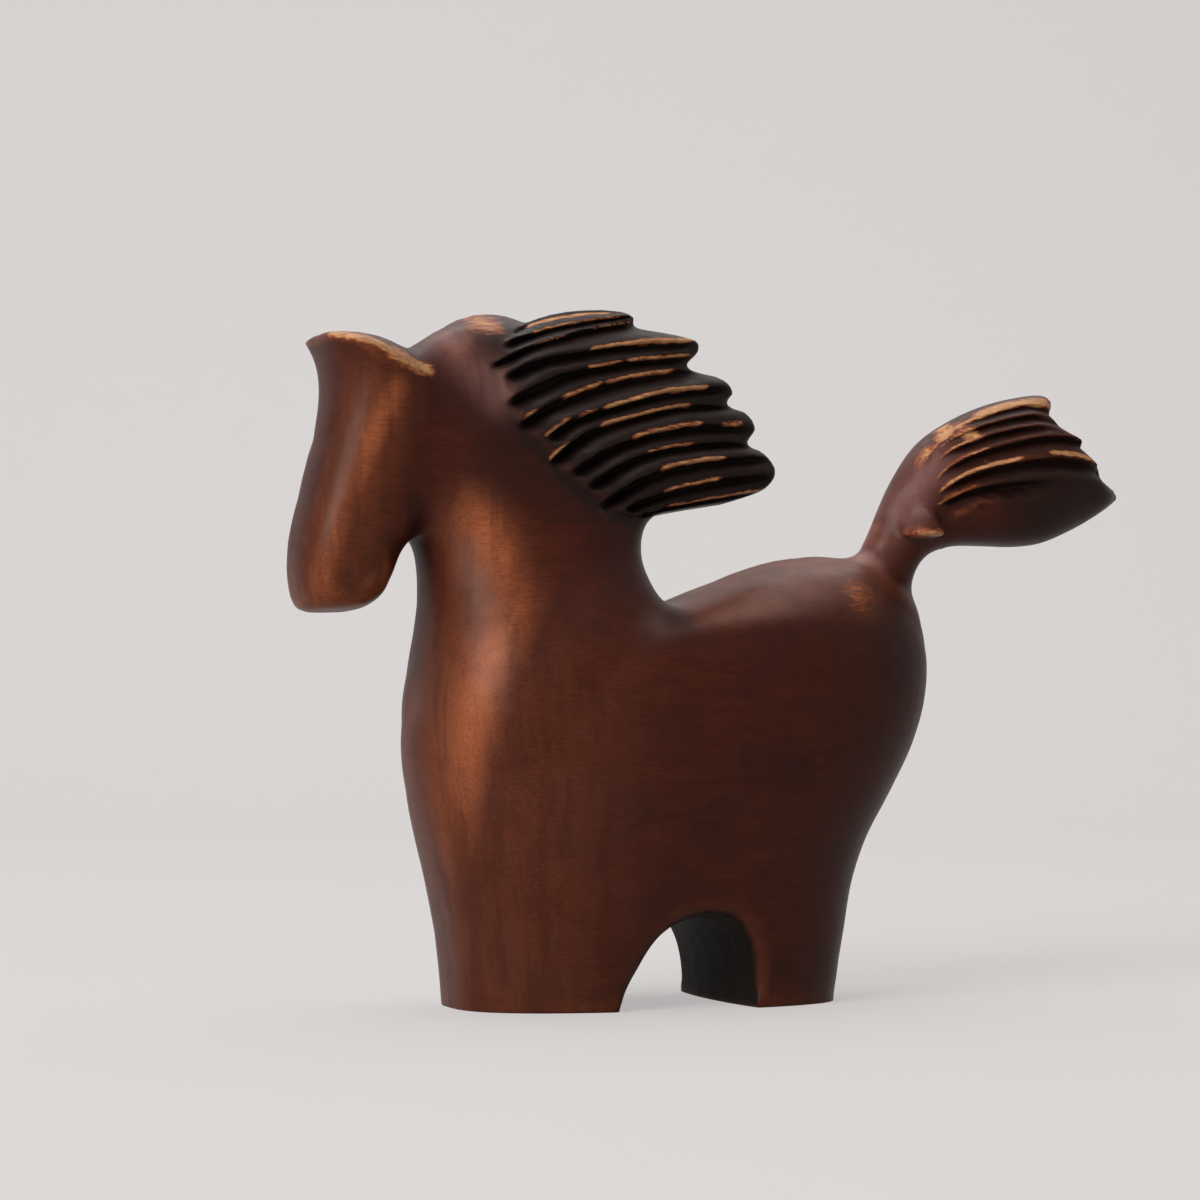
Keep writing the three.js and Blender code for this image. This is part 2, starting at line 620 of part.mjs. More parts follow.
const DOWELS = {
  head_dowel_upper: neckDowel(HEAD_GLUE_LINE, 0.3),
  head_dowel_lower: neckDowel(HEAD_GLUE_LINE, 0.72),
  mane_dowel_front: neckDowel(MANE_GLUE_LINE, 0.64),
  mane_dowel_rear: neckDowel(MANE_GLUE_LINE, 0.28),
  tail_dowel: {
    diameter: TAIL_DOWEL_DIAMETER,
    length: TAIL_DOWEL_LENGTH,
    place: gluePlace(TAIL_GLUE_LINE, 0.5),
  },
};

// The carving is made whole, then parted along the glue lines and bored for its dowels

const carving = trunk().subtract(archTunnel()).add(neck()).add(head()).add(mane()).add(tail());
const bores = Object.values(DOWELS).map(bore).reduce((all, one) => all.add(one));

const GLUED = {
  head: { line: HEAD_GLUE_LINE, region: HEAD_REGION, material: FACE_STAIN },
  mane: { line: MANE_GLUE_LINE, region: MANE_REGION, material: MANE_STAIN },
  tail: { line: TAIL_GLUE_LINE, region: TAIL_REGION, material: TAIL_STAIN },
};

const horse = new THREE.Group();

// The origin lies under the middle of the carving's length
const { min, max } = carving.boundingBox();
const centring = -(min[1] + max[1]) / 2;

function place(name, geometry, material) {
  geometry.translate(0, centring, 0);
  const mesh = new THREE.Mesh(geometry, material);
  mesh.name = name;
  horse.add(mesh);
}

let body = carving;
for (const [name, blank] of Object.entries(GLUED)) {
  body = body.subtract(blockBeyond(blank, -GLUE_GAP / 2));
  const piece = carving.intersect(blockBeyond(blank, GLUE_GAP / 2)).subtract(bores);
  place(name, geometryFrom(piece), blank.material);
}
place('body', geometryFrom(body.subtract(bores)), STAIN);

for (const [name, { diameter, length, place: where }] of Object.entries(DOWELS)) {
  place(name, dowelGeometry(diameter, length, DOWEL_CHAMFER).applyMatrix4(where), BARE_WOOD);
}

export default horse;
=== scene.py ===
"""Looks for the carved wooden horse figurine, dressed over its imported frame."""

import math

import bmesh
import bpy
import numpy as np
from mathutils import Matrix, Vector, kdtree, noise


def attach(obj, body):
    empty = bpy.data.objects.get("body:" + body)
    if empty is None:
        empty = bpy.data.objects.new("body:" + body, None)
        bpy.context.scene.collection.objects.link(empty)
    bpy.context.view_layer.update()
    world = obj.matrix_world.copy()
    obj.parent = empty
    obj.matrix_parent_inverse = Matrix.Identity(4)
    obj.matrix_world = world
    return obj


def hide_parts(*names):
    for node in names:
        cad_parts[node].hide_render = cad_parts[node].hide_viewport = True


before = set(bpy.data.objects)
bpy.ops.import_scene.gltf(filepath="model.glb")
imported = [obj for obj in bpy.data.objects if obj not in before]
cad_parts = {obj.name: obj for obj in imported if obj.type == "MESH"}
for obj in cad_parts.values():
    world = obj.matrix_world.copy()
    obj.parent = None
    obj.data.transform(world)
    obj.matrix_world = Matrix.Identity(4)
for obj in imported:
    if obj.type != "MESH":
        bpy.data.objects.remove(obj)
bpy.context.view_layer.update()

bl_info = {
    "name": "Carved wooden horse",
    "version": (1, 0, 0),
    "blender": (4, 5, 0),
    "location": "View3D > Sidebar > Horse",
    "description": "Carves, stains and lights a wooden horse figurine",
    "category": "Object",
}

# Lengths of the horse are in millimetres, in side view as [y, z] or in space as [x, y, z].
# The finished meshes, the user's settings and the studio are in metres.

MM = 0.001
BLANK = "glued_blank"

# Glue lines in side view, with the glued blank on the right of each, and the corners of each blank's region
GLUE_LINES = {
    "head": ((-65.86, 129.6), (-67.06, 91.4)),
    "mane": ((-17.06, 96.6), (-56.66, 136.4)),
    "tail": ((42.74, 86.3), (29.74, 90.4)),
}
REGIONS = {
    "head": ((-96, 73), (-59.7, 141)),
    "mane": ((-61.7, 95.6), (22, 146)),
    "tail": ((28.7, 82), (96, 131)),
}
GLUE_GAP = 0.3
JOINT_OVERLAP = 0.3

# How near a point of the solids lies to a joint face or to the floor to count as on it, and how far the feet
# are drawn down before the floor cuts them flat
JOINT_REACH = 0.06
FLOOR_REACH = 0.05
FOOT_DROP = 3

# Bores at each glue line: share of the way along it, radius and depth
BORES = {
    "head": ((0.3, 3.3, 10), (0.72, 3.3, 10)),
    "mane": ((0.64, 3.3, 10), (0.28, 3.3, 10)),
    "tail": ((0.5, 2.3, 8.5),),
}
BORE_SIDES = 32

# Mane: its strands run from the root line to the tip line, each row [strand, y, z] from the top edge down.
# A crest stands at each whole number. Each strand bends at a share of its reach and of its climb, and the top
# edge bows up a little more. Half the thickness is given at the roots and at the tips.
MANE_STRANDS = 13
MANE_ROOTS = (
    (0, -45.2, 133.8), (1, -51.3, 129.4), (3, -52.3, 122.8), (5, -48.6, 114),
    (7, -42, 107.2), (9, -35.6, 101.2), (11, -27.2, 96.9), (13, -17.5, 97),
)
MANE_TIPS = (
    (0, -21.2, 138.4), (1.6, -18.9, 137), (2.4, -19.8, 135.4), (2.9, -6.9, 133.6),
    (3.6, -5.2, 131.3), (5, -7.7, 127.4), (5.6, -0.4, 125.7), (6.4, 2.4, 122.8),
    (7, 0.4, 120.3), (7.5, 4.9, 119), (8.2, 7.3, 115.6), (9, 5.2, 112.5),
    (9.6, 8.6, 111), (10.8, 11.7, 107.3), (12, 8.9, 103.3), (13, -0.7, 100),
)
MANE_BENDS = (
    (0, 0.4, 0.9), (2, 0.45, 0.7), (3, 0.26, 0.74), (5, 0.28, 0.68), (6, 0.32, 0.76), (7, 0.24, 0.83),
    (9, 0.3, 1), (10, 0.34, 1), (11, 0.22, 0.76), (12, 0.12, 0.36), (13, 0.4, 0.5),
)
MANE_TOP_BOW = 1.7
MANE_ROOT_HALVES = ((0, 8), (2, 12.4), (6, 14.4), (9, 15), (13, 14.4))
MANE_TIP_HALF = 5

# Where the crests of the mane are worn to bare wood: crest, start and end along y, and how far worn
MANE_WORN = (
    (0.45, -44, -25, 0.8), (1, -43, -23, 0.75), (2, -43, -36, 0.6), (2, -30, -19, 0.8), (3, -31, -7, 1),
    (4, -32, -24, 0.6), (4, -23, -8, 0.8), (5, -47, -44, 0.7), (5, -38, -29, 0.75), (5, -28, -12, 0.8),
    (6, -43, -37, 0.75), (6, -35, -31, 0.6), (6, -29, -5, 1), (7, -43, -38, 0.75), (7, -30, -9, 1),
    (8, -23, -7, 0.7), (8, -2, 3, 0.6), (9, -20, -9, 0.6), (10, -17, -2, 0.9), (11, -16, -3, 0.65),
    (12, -15, 8, 0.7),
)

# Tail: front and back of its sections in side view, with half its width there
TAIL_SECTIONS = (
    ((27.34, 82), (40.94, 78), 7.4), ((30.14, 89.8), (41.94, 86), 5.8),
    ((32.74, 95), (45.14, 90.4), 5.6), ((34.94, 100), (50.74, 92.4), 6.6),
    ((38.04, 106), (58.34, 92.6), 8.2), ((43.54, 113.6), (65.34, 92.5), 9.6),
    ((50.94, 118.6), (71.34, 93.3), 10.2), ((58.94, 122), (76.34, 95.2), 10),
    ((66.34, 123.8), (81.34, 97.6), 8.8), ((72.34, 124.2), (86.34, 100.4), 6.4),
    ((74.94, 123), (90.14, 102.6), 0),
)
TAIL_STRANDS = 7
TAIL_TIPS = (
    (0, 74.5, 123.4), (0.7, 74.1, 118.4), (1.5, 77.7, 115.4), (2.3, 81, 114.8), (2.8, 81.6, 113),
    (3.8, 85.4, 109.6), (4.5, 86.2, 107.2), (5.8, 89.4, 104.6), (7, 89.9, 102.8),
)
TAIL_SETTLE_START = 0.75

# Grooves of the tail from the top one down: where each starts along the tail, its shares of the way across
# there and at the end, and the share of its length at which it has faded out
TAIL_GROOVES = (
    (0.59, 0.06, 0.1, 1), (0.53, 0.08, 0.24, 1), (0.48, 0.14, 0.32, 0.8),
    (0.44, 0.22, 0.4, 1), (0.4, 0.3, 0.63, 1), (0.35, 0.36, 0.82, 0.7),
)

# Worn lips above the grooves of the tail: groove, start and end along the tail, and how far worn
TAIL_WORN = (
    (1, 0.55, 1, 1), (2, 0.5, 0.6, 0.8), (3, 0.47, 0.62, 0.7), (4, 0.43, 0.6, 0.65),
    (5, 0.42, 0.66, 1), (5, 0.75, 0.92, 1), (6, 0.36, 0.5, 0.5),
)
CURL_CENTRE = (40.74, 94)

# Worn top edge of the head, and the burnished ridge of its cheek with a painted highlight, in side view
HEAD_RIM = (
    (-86.2, 131.4), (-84.3, 131.1), (-82.3, 130.6), (-80.2, 130.2), (-78.2, 129.7), (-76.1, 128.7),
    (-74, 127.6), (-72.6, 126.9),
)
HEAD_PATCH = ((-73, 127.2), (-66.5, 124.6))
CHEEK_RIDGE = ((-72.7, 120.5), (-77.7, 110.4), (-82.7, 98.8), (-85.6, 87.3), (-88, 81.6))

# Other worn or darkened places: the top of the neck, a scuff on the rump, the hollow before the back, with
# painted shade, and the upper edge of the tail
POLL = (-52.5, 133.5)
SCUFF = (22.5, 82)
HOLLOW = (-18, 76)
TAIL_PATCH = ((45.5, 117.1), (53, 115.8))

# Corners that stay crisp, each with the radius around it
SHARP_CORNERS = (((-65.8, 129.7), 4), ((-67, 91.8), 3.5), ((-13.1, 80.7), 3))

# Arch between the foot blocks: start and end along y, and height
ARCH_START = -36
ARCH_END = 4
ARCH_TOP = 23

# Place across the corner between chest and flank, as seen from the camera: what it gains with the width and
# with the length, and where along the length it starts
CORNER_BY_WIDTH = 0.342
CORNER_BY_LENGTH = 0.94
CORNER_START = -26.36

# Burnished ridge from foreleg to throat, with a painted highlight: height, and place across that corner
CHEST_RIDGE = (
    (0, -29), (35, -28), (60.6, -23.5), (70.1, -20.3), (79.8, -18), (87.4, -19.4), (98.8, -24.5), (110, -30),
)

# Stretches of a painted mauve sheen, a highlight laid into the colour, in side view
PAINTED_SHEEN_LINES = (((-60, 130), (-52, 120)), ((37, 99), (45, 110)), ((31, 91), (34, 94)))


# Small numeric helpers

def smooth_step(low, high, value):
    share = np.clip((value - low) / (high - low), 0, 1)
    return share * share * (3 - 2 * share)


def smooth_rows(rows, place):
    """Values between rows, along a smooth curve through them."""
    rows = np.asarray(rows, float)
    last = len(rows) - 1
    index = np.clip(np.searchsorted(rows[:, 0], place, side="left") - 1, 0, last - 1)
    before, start = rows[np.maximum(index - 1, 0)], rows[index]
    end, after = rows[index + 1], rows[np.minimum(index + 2, last)]
    span = (end[:, 0] - start[:, 0])[:, None]
    t = (place[:, None] - start[:, :1]) / span
    value, target = start[:, 1:], end[:, 1:]
    start_slope = (target - before[:, 1:]) / (end[:, :1] - before[:, :1])
    end_slope = (after[:, 1:] - value) / (after[:, :1] - start[:, :1])
    settle = t * t * (3 - 2 * t)
    leave = t * (1 - t) * (1 - t) * span * start_slope
    arrive = t * t * (1 - t) * span * end_slope
    return value + (target - value) * settle + leave - arrive


def distance_to_line(points, line):
    """Distance in side view from points in space to a line of corners."""
    points = points[:, 1:]
    best = np.full(len(points), np.inf)
    line = np.asarray(line, float)
    for start, end in zip(line[:-1], line[1:]):
        step = end - start
        share = np.clip((points - start) @ step / (step @ step), 0, 1)
        best = np.minimum(best, np.linalg.norm(points - start - share[:, None] * step, axis=1))
    return best


# Mesh helpers

def read_points(mesh):
    flat = np.empty(len(mesh.vertices) * 3)
    mesh.vertices.foreach_get("co", flat)
    return flat.reshape(-1, 3) / MM


def write_points(mesh, points):
    mesh.vertices.foreach_set("co", (points * MM).ravel())
    mesh.update()


def read_normals(mesh):
    flat = np.empty(len(mesh.vertices) * 3)
    mesh.vertices.foreach_get("normal", flat)
    return flat.reshape(-1, 3)


def read_edges(mesh):
    flat = np.empty(len(mesh.edges) * 2, np.int32)
    mesh.edges.foreach_get("vertices", flat)
    return flat.reshape(-1, 2)


def relax(points, edges, weight, rounds):
    """Points drawn towards the middle of their neighbours, each by its own weight."""
    size = len(points)
    moving = np.abs(np.broadcast_to(weight, size)) > 1e-4
    near = moving[edges[:, 0]] | moving[edges[:, 1]]
    first, second = edges[near, 0], edges[near, 1]
    count = np.maximum(np.bincount(first, minlength=size) + np.bincount(second, minlength=size), 1)
    points = points.copy()
    for _ in range(rounds):
        for axis in range(points.shape[1]):
            value = points[:, axis]
            total = np.bincount(first, value[second], size) + np.bincount(second, value[first], size)
            points[:, axis] = value + weight * (total / count - value)
    return points


def soften(values, edges, weight, rounds):
    """Values, one a point, that run out over the surface."""
    return relax(values[:, None], edges, weight, rounds)[:, 0]


def stand_out(points, edges, normals, rounds):
    """How far each point stands out of the smoothed surface around it, below 0 in a hollow."""
    soft = relax(points, edges, 0.5, rounds)
    return np.sum((points - soft) * normals, axis=1)


def store(mesh, name, values):
    layer = mesh.attributes.get(name) or mesh.attributes.new(name, "FLOAT", "POINT")
    layer.data.foreach_set("value", np.asarray(values, np.float32))


def hand_wander(points, scale, seed):
    """A slow, repeatable wander of a hand-held tool, from -1 to 1."""
    shift = Vector((seed * 7.3, seed * 3.1, seed * 5.7))
    return np.array([noise.noise(Vector(point) / scale + shift) for point in points])


def glue_frame(name):
    """Start of a glue line and the direction out of the body, in side view."""
    start, end = (np.array(corner, float) for corner in GLUE_LINES[name])
    run = (end - start) / np.linalg.norm(end - start)
    return start, np.array((run[1], -run[0]))


def in_region(name, points):
    (y_low, z_low), (y_high, z_high) = REGIONS[name]
    y, z = points[:, 1], points[:, 2]
    return (y > y_low) & (y < y_high) & (z > z_low) & (z < z_high)


def in_arch(points, top):
    y, z = points[:, 1], points[:, 2]
    return (y > ARCH_START) & (y < ARCH_END) & (z < top)


def near_line(points, line, radius):
    return np.exp(-((distance_to_line(points, line) / radius) ** 2))


def near_place(points, place, radius):
    return np.exp(-((np.hypot(points[:, 1] - place[0], points[:, 2] - place[1]) / radius) ** 2))


# Places on the mane and the tail

def mane_place(along, strand):
    root = smooth_rows(MANE_ROOTS, strand)
    tip = smooth_rows(MANE_TIPS, strand)
    bend = root + (tip - root) * smooth_rows(MANE_BENDS, strand)
    bend[:, 1] += MANE_TOP_BOW * np.maximum(1 - strand, 0)
    along = along[:, None]
    rest = 1 - along
    return rest * rest * root + 2 * along * rest * bend + along * along * tip


def tail_place(along, across):
    """Place in side view on the tail: along from root to tip, across from its front, 0, to its back, 1."""
    steps = np.linspace(0, 1, len(TAIL_SECTIONS))
    rows = [(step, *front, *back) for step, (front, back, _) in zip(steps, TAIL_SECTIONS)]
    values = smooth_rows(rows, along)
    last_front, last_back = (np.array(corner) for corner in TAIL_SECTIONS[-1][:2])
    last = last_front + (last_back - last_front) * across[:, None]
    settled = smooth_step(TAIL_SETTLE_START, 1, along)[:, None]
    settle = (smooth_rows(TAIL_TIPS, across * TAIL_STRANDS) - last) * settled
    return values[:, :2] + (values[:, 2:] - values[:, :2]) * across[:, None] + settle


def tail_bounds(along):
    """Shares of the way across the tail at its front edge, its grooves and its back edge, a column each."""
    columns = [np.zeros(len(along))]
    for number, (start, near, far, _) in enumerate(TAIL_GROOVES):
        even = (number + 1) / (len(TAIL_GROOVES) + 1)
        before = even + (near - even) * along / start
        after = near + (far - near) * (along - start) / (1 - start)
        columns.append(np.where(along < start, before, after))
    columns.append(np.ones(len(along)))
    return np.stack(columns, axis=1)


def tail_strand(along, across):
    """Place among the tail's grooves, which lie at the whole numbers."""
    bounds = tail_bounds(along)
    strand = np.zeros(len(along))
    for number in range(TAIL_STRANDS):
        low, high = bounds[:, number], bounds[:, number + 1]
        inside = (across >= low) & (across <= high)
        strand[inside] = number + ((across - low) / np.maximum(high - low, 1e-6))[inside]
    return strand


def tail_groove(along, strand):
    """How deep the cuts in the tail are, from 0 to 1: steep above each groove and slow below it."""
    depth = np.zeros(len(along))
    for number, (start, _, _, run) in enumerate(TAIL_GROOVES, 1):
        off = strand - number
        slow = 0.3 if number == len(TAIL_GROOVES) else 0.75
        shape = np.where(off < 0, np.clip(1 + off / 0.28, 0, 1) ** 0.8, np.clip(1 - off / slow, 0, 1) ** 1.7)
        strength = smooth_step(start - 0.01, start + 0.09, along)
        if run < 1:
            end = start + (1 - start) * run
            strength *= 1 - smooth_step((start + end) / 2, end, along)
        depth = np.maximum(depth, strength * shape)
    return depth


def chart(place, ranges, counts):
    """Searchable grid of a two-way surface in side view."""
    steps = [np.linspace(*reach, count) for reach, count in zip(ranges, counts)]
    first, second = (grid.ravel() for grid in np.meshgrid(*steps, indexing="ij"))
    where = place(first, second)
    tree = kdtree.KDTree(len(where))
    for index, (y, z) in enumerate(where):
        tree.insert((y, z, 0), index)
    tree.balance()
    return tree, first, second


def read_chart(place, ranges, counts, points):
    """The two measures of each point on a chart, and how far off the chart it lies."""
    tree, first, second = chart(place, ranges, counts)
    found = [tree.find((y, z, 0)) for y, z in points]
    index = np.array([hit[1] for hit in found])
    gap = np.array([hit[2] for hit in found])
    a, b = first[index].copy(), second[index].copy()
    (a_low, a_high), (b_low, b_high) = ranges
    nudge = 1e-3
    for _ in range(2):
        here = place(a, b)
        by_a = (place(np.clip(a + nudge, a_low, a_high), b) - here) / nudge
        by_b = (place(a, np.clip(b + nudge, b_low, b_high)) - here) / nudge
        miss = points - here
        det = by_a[:, 0] * by_b[:, 1] - by_a[:, 1] * by_b[:, 0]
        safe = np.abs(det) > 1e-3
        det = np.where(safe, det, 1)
        da = (miss[:, 0] * by_b[:, 1] - miss[:, 1] * by_b[:, 0]) / det
        db = (by_a[:, 0] * miss[:, 1] - by_a[:, 1] * miss[:, 0]) / det
        a = np.clip(a + np.where(safe, np.clip(da, -0.03, 0.03), 0), a_low, a_high)
        b = np.clip(b + np.where(safe, np.clip(db, -0.1, 0.1), 0), b_low, b_high)
    return a, b, gap


# Distance from a chart given to points outside its region
FAR = 99.0


def read_region(name, place, ranges, counts, points):
    """As read_chart, for the points in one piece's region. All other points are far off its chart."""
    reach = in_region(name, points)
    first, second = np.zeros(len(points)), np.zeros(len(points))
    gap = np.full(len(points), FAR)
    first[reach], second[reach], gap[reach] = read_chart(place, ranges, counts, points[reach][:, 1:])
    return first, second, gap


def read_mane(points):
    return read_region("mane", mane_place, ((0, 1), (0, MANE_STRANDS)), (140, 300), points)


def read_tail(points):
    return read_region("tail", tail_place, ((0, 1), (0, 1)), (140, 120), points)


# Sizes and colours that a user would change

class HorseSettings(bpy.types.PropertyGroup):
    mesh_size: bpy.props.FloatProperty(
        name="Mesh size", description="Size of the faces of the carving",
        default=0.0007, min=0.0003, max=0.002, unit="LENGTH")
    blend_rounds: bpy.props.IntProperty(
        name="Blend rounds", description="How softly neck, head and trunk run into each other",
        default=210, min=0, max=1000)
    mane_depth: bpy.props.FloatProperty(
        name="Mane groove depth", description="Depth of the gouge cuts between the strands of the mane",
        default=0.0026, min=0, max=0.004, unit="LENGTH")
    tail_depth: bpy.props.FloatProperty(
        name="Tail groove depth", description="Depth of the gouge cuts in the tail",
        default=0.0024, min=0, max=0.004, unit="LENGTH")
    wear: bpy.props.FloatProperty(
        name="Wear", description="How much bare wood shows on the worn edges",
        default=1, min=0, max=2, subtype="FACTOR")
    stain: bpy.props.FloatVectorProperty(
        name="Stain", description="Colour of the stained flanks", subtype="COLOR", size=3,
        default=(0.039, 0.0082, 0.0042), min=0, max=1)
    rubbed_and_highlight: bpy.props.FloatVectorProperty(
        name="Rubbed stain", description="Colour where the stain has been rubbed thin",
        subtype="COLOR", size=3, default=(0.25, 0.07, 0.026), min=0, max=1)
    dark: bpy.props.FloatVectorProperty(
        name="Dark stain", description="Colour of the mane", subtype="COLOR", size=3,
        default=(0.009, 0.0052, 0.0042), min=0, max=1)
    painted_sheen: bpy.props.FloatVectorProperty(
        name="Mauve sheen", description="Colour of the sheen on neck crest and tail stem",
        subtype="COLOR", size=3, default=(0.2, 0.09, 0.08), min=0, max=1)
    bare: bpy.props.FloatVectorProperty(
        name="Bare wood", description="Colour of the wood under the stain", subtype="COLOR", size=3,
        default=(0.5, 0.25, 0.11), min=0, max=1)


class StudioSettings(bpy.types.PropertyGroup):
    floor: bpy.props.FloatVectorProperty(
        name="Floor", description="Colour of floor and backdrop", subtype="COLOR", size=3,
        default=(0.66, 0.645, 0.63), min=0, max=1)
    key_power: bpy.props.FloatProperty(
        name="Key light", description="Power of the large soft lamp before the horse",
        default=40, min=0, unit="POWER")
    top_power: bpy.props.FloatProperty(
        name="Top light", description="Power of the soft lamp over the horse's back",
        default=22, min=0, unit="POWER")


# Carving

def blank_mesh():
    return bpy.data.objects[BLANK].data


def new_object(name, mesh):
    made = bpy.data.objects.new(name, mesh)
    bpy.context.scene.collection.objects.link(made)
    return made


def of_type(items, kind):
    return [item for item in items if isinstance(item, kind)]


def once_each(items):
    """The items without repeats, in the order in which they come, so that each run gives the same mesh."""
    return list(dict.fromkeys(items))


def with_modifier(source, kind, **values):
    """Mesh of an object with one modifier applied."""
    modifier = source.modifiers.new("working", kind)
    for key, value in values.items():
        setattr(modifier, key, value)
    ready = source.evaluated_get(bpy.context.evaluated_depsgraph_get())
    mesh = bpy.data.meshes.new_from_object(ready)
    source.modifiers.remove(modifier)
    return mesh


def closed_joints(name, points):
    """Points of a CAD node with its joint faces pushed over the glue gap into the neighbour."""
    points = points.copy()
    joints = GLUE_LINES if name == "body" else (name,)
    for joint in joints:
        start, out = glue_frame(joint)
        away = (points[:, 1:] - start) @ out
        side = -1 if name == "body" else 1
        on_face = (np.abs(away - side * GLUE_GAP / 2) < JOINT_REACH) & in_region(joint, points)
        points[on_face, 1:] -= side * (GLUE_GAP / 2 + JOINT_OVERLAP) * out
    if name == "body":
        points[points[:, 2] < FLOOR_REACH, 2] = -FOOT_DROP
    return points


def joined_to(seed):
    """Every point of a mesh that edges join to the seed."""
    part, rim = {seed}, [seed]
    while rim:
        grown = []
        for vert in rim:
            for edge in vert.link_edges:
                other = edge.other_vert(vert)
                if other not in part:
                    part.add(other)
                    grown.append(other)
        rim = grown
    return part


def largest_part(bm):
    """Takes every part of a mesh away but its largest."""
    unseen = set(bm.verts)
    parts = []
    while unseen:
        part = joined_to(next(iter(unseen)))
        unseen -= part
        parts.append(part)
    parts.sort(key=len)
    for part in parts[:-1]:
        bmesh.ops.delete(bm, geom=list(part), context="VERTS")


def glue_up(settings):
    """One closed mesh of the four carved CAD nodes, without their joints and bores."""
    joined = bmesh.new()
    for name in ("body", "head", "mane", "tail"):
        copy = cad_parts[name].data.copy()
        part = bmesh.new()
        part.from_mesh(copy)
        bmesh.ops.remove_doubles(part, verts=part.verts, dist=1e-6)
        part.to_mesh(copy)
        part.free()
        write_points(copy, closed_joints(name, read_points(copy)))
        joined.from_mesh(copy)
        bpy.data.meshes.remove(copy)
    mesh = bpy.data.meshes.new(BLANK)
    joined.to_mesh(mesh)
    joined.free()
    rough = new_object(BLANK + "_rough", mesh)
    fine = with_modifier(rough, "REMESH", mode="VOXEL", voxel_size=settings.mesh_size)
    bpy.data.objects.remove(rough)
    bm = bmesh.new()
    bm.from_mesh(fine)
    largest_part(bm)
    floor = bmesh.ops.bisect_plane(
        bm, geom=bm.verts[:] + bm.edges[:] + bm.faces[:],
        plane_co=(0, 0, 0), plane_no=(0, 0, 1), clear_inner=True)
    rim = of_type(floor["geom_cut"], bmesh.types.BMEdge)
    bmesh.ops.triangle_fill(bm, edges=rim, use_beauty=True, normal=(0, 0, -1))
    bm.to_mesh(fine)
    bm.free()
    for face in fine.polygons:
        face.use_smooth = True
    return new_object(BLANK, fine)


def calm_places(points, edges, arch):
    """Where the surface may be softened, from 0 on crisp forms to 1."""
    height = points[:, 2]
    calm = smooth_step(1, 5, height)
    calm[arch] = 0
    start, out = glue_frame("mane")
    beyond = np.einsum("ij,j->i", points[:, 1:] - start, out) > -9
    calm[beyond & in_region("mane", points)] = 0
    calm[in_region("tail", points) & (height > 91)] = 0
    rim = distance_to_line(points, (*HEAD_RIM, HEAD_PATCH[1]))
    calm *= np.where(np.abs(points[:, 0]) > 8, smooth_step(1, 4, rim), 1)
    for place, radius in SHARP_CORNERS:
        calm *= 1 - near_place(points, place, radius)
    return soften(calm, edges, 0.6, 10)


BLEND_PASSES = 3
EVEN_PASSES = 50


def blend_unions(mesh, rounds):
    """Runs neck, head and trunk softly into each other, and leaves crisp forms alone."""
    first, edges = read_points(mesh), read_edges(mesh)
    arch = in_arch(first, ARCH_TOP)
    height = first[:, 2]
    calm = calm_places(first, edges, arch)
    points = first
    for _ in range(BLEND_PASSES):
        write_points(mesh, points)
        hollow = smooth_step(0.012, 0.05, -stand_out(points, edges, read_normals(mesh), 24))
        hollow = np.clip(2.2 * soften(hollow, edges, 0.8, 50), 0, 1)
        points = relax(points, edges, 0.5 * hollow * calm, rounds // BLEND_PASSES)

    # Each pass in and out again evens the surface without shrinking it
    for _ in range(EVEN_PASSES):
        points = relax(points, edges, 0.6 * calm, 1)
        points = relax(points, edges, -0.585 * calm, 1)
    points = relax(points, edges, 0.25 * smooth_step(0.5, 2, height), 2)
    write_points(mesh, points)

    # The edge round the arch, where it is clear of the floor
    crisp = smooth_step(0.06, 0.2, stand_out(points, edges, read_normals(mesh), 14)) * arch
    crisp = np.clip(3 * soften(crisp, edges, 0.6, 12), 0, 1) * smooth_step(1, 5, height)
    write_points(mesh, relax(points, edges, 0.5 * crisp, 40))


def subdivide_where(mesh, chosen):
    """Halves the edges of the faces whose corners are all chosen."""
    bm = bmesh.new()
    bm.from_mesh(mesh)
    faces = [face for face in bm.faces if all(chosen[vert.index] for vert in face.verts)]
    edges = once_each(edge for face in faces for edge in face.edges)
    bmesh.ops.subdivide_edges(bm, edges=edges, cuts=1, use_grid_fill=True)
    odd = [face for face in bm.faces if len(face.verts) > 4]
    bmesh.ops.triangulate(bm, faces=odd)
    bm.to_mesh(mesh)
    bm.free()


def gouge(place, steep=0.24):
    """Depth of a gouge cut beside a crest, which stands at each whole number: steep just under the crest."""
    part = place - np.floor(place)
    down = 1 - part / steep
    up = (part - steep) / (1 - steep)
    return np.where(part < steep, 1 - np.abs(down) ** 1.8, (1 - np.clip(up, 0, 1)) ** 2)


def ease_mane_roots(mesh):
    """Runs the mane into the neck, so that its strands can rise out of it one by one."""
    points, edges = read_points(mesh), read_edges(mesh)
    strands = np.linspace(0.6, MANE_STRANDS - 0.4, 40)
    root_line = mane_place(np.full(40, 0.03), strands)
    gap = distance_to_line(points, root_line)
    weight = (1 - smooth_step(3.5, 6.5, gap)) * smooth_step(2, 5, np.abs(points[:, 0]))
    write_points(mesh, relax(points, edges, 0.5 * weight, 160))


def strand_cut(along, strand, points):
    """Depth of the mane's cuts, from 0 to 1, with each strand's root set a little apart from the next."""
    slow = hand_wander(points * (1, 0.35, 1), 6, 1)
    quick = hand_wander(points * (1, 0.6, 1), 2.2, 4)
    place = strand + (0.12 * slow + 0.05 * quick) * smooth_step(0, 0.15, along)
    number = np.floor(place)
    stagger = 0.05 * np.sin(number * 2.4)
    ramp = smooth_step(0.0 + stagger, 0.13 + stagger, along)
    return gouge(place) * ramp, place


# How far off its chart a point of the carving may lie to be cut, and to be smoothed at the tail's end
CARVE_REACH = 0.4
END_REACH = 0.6


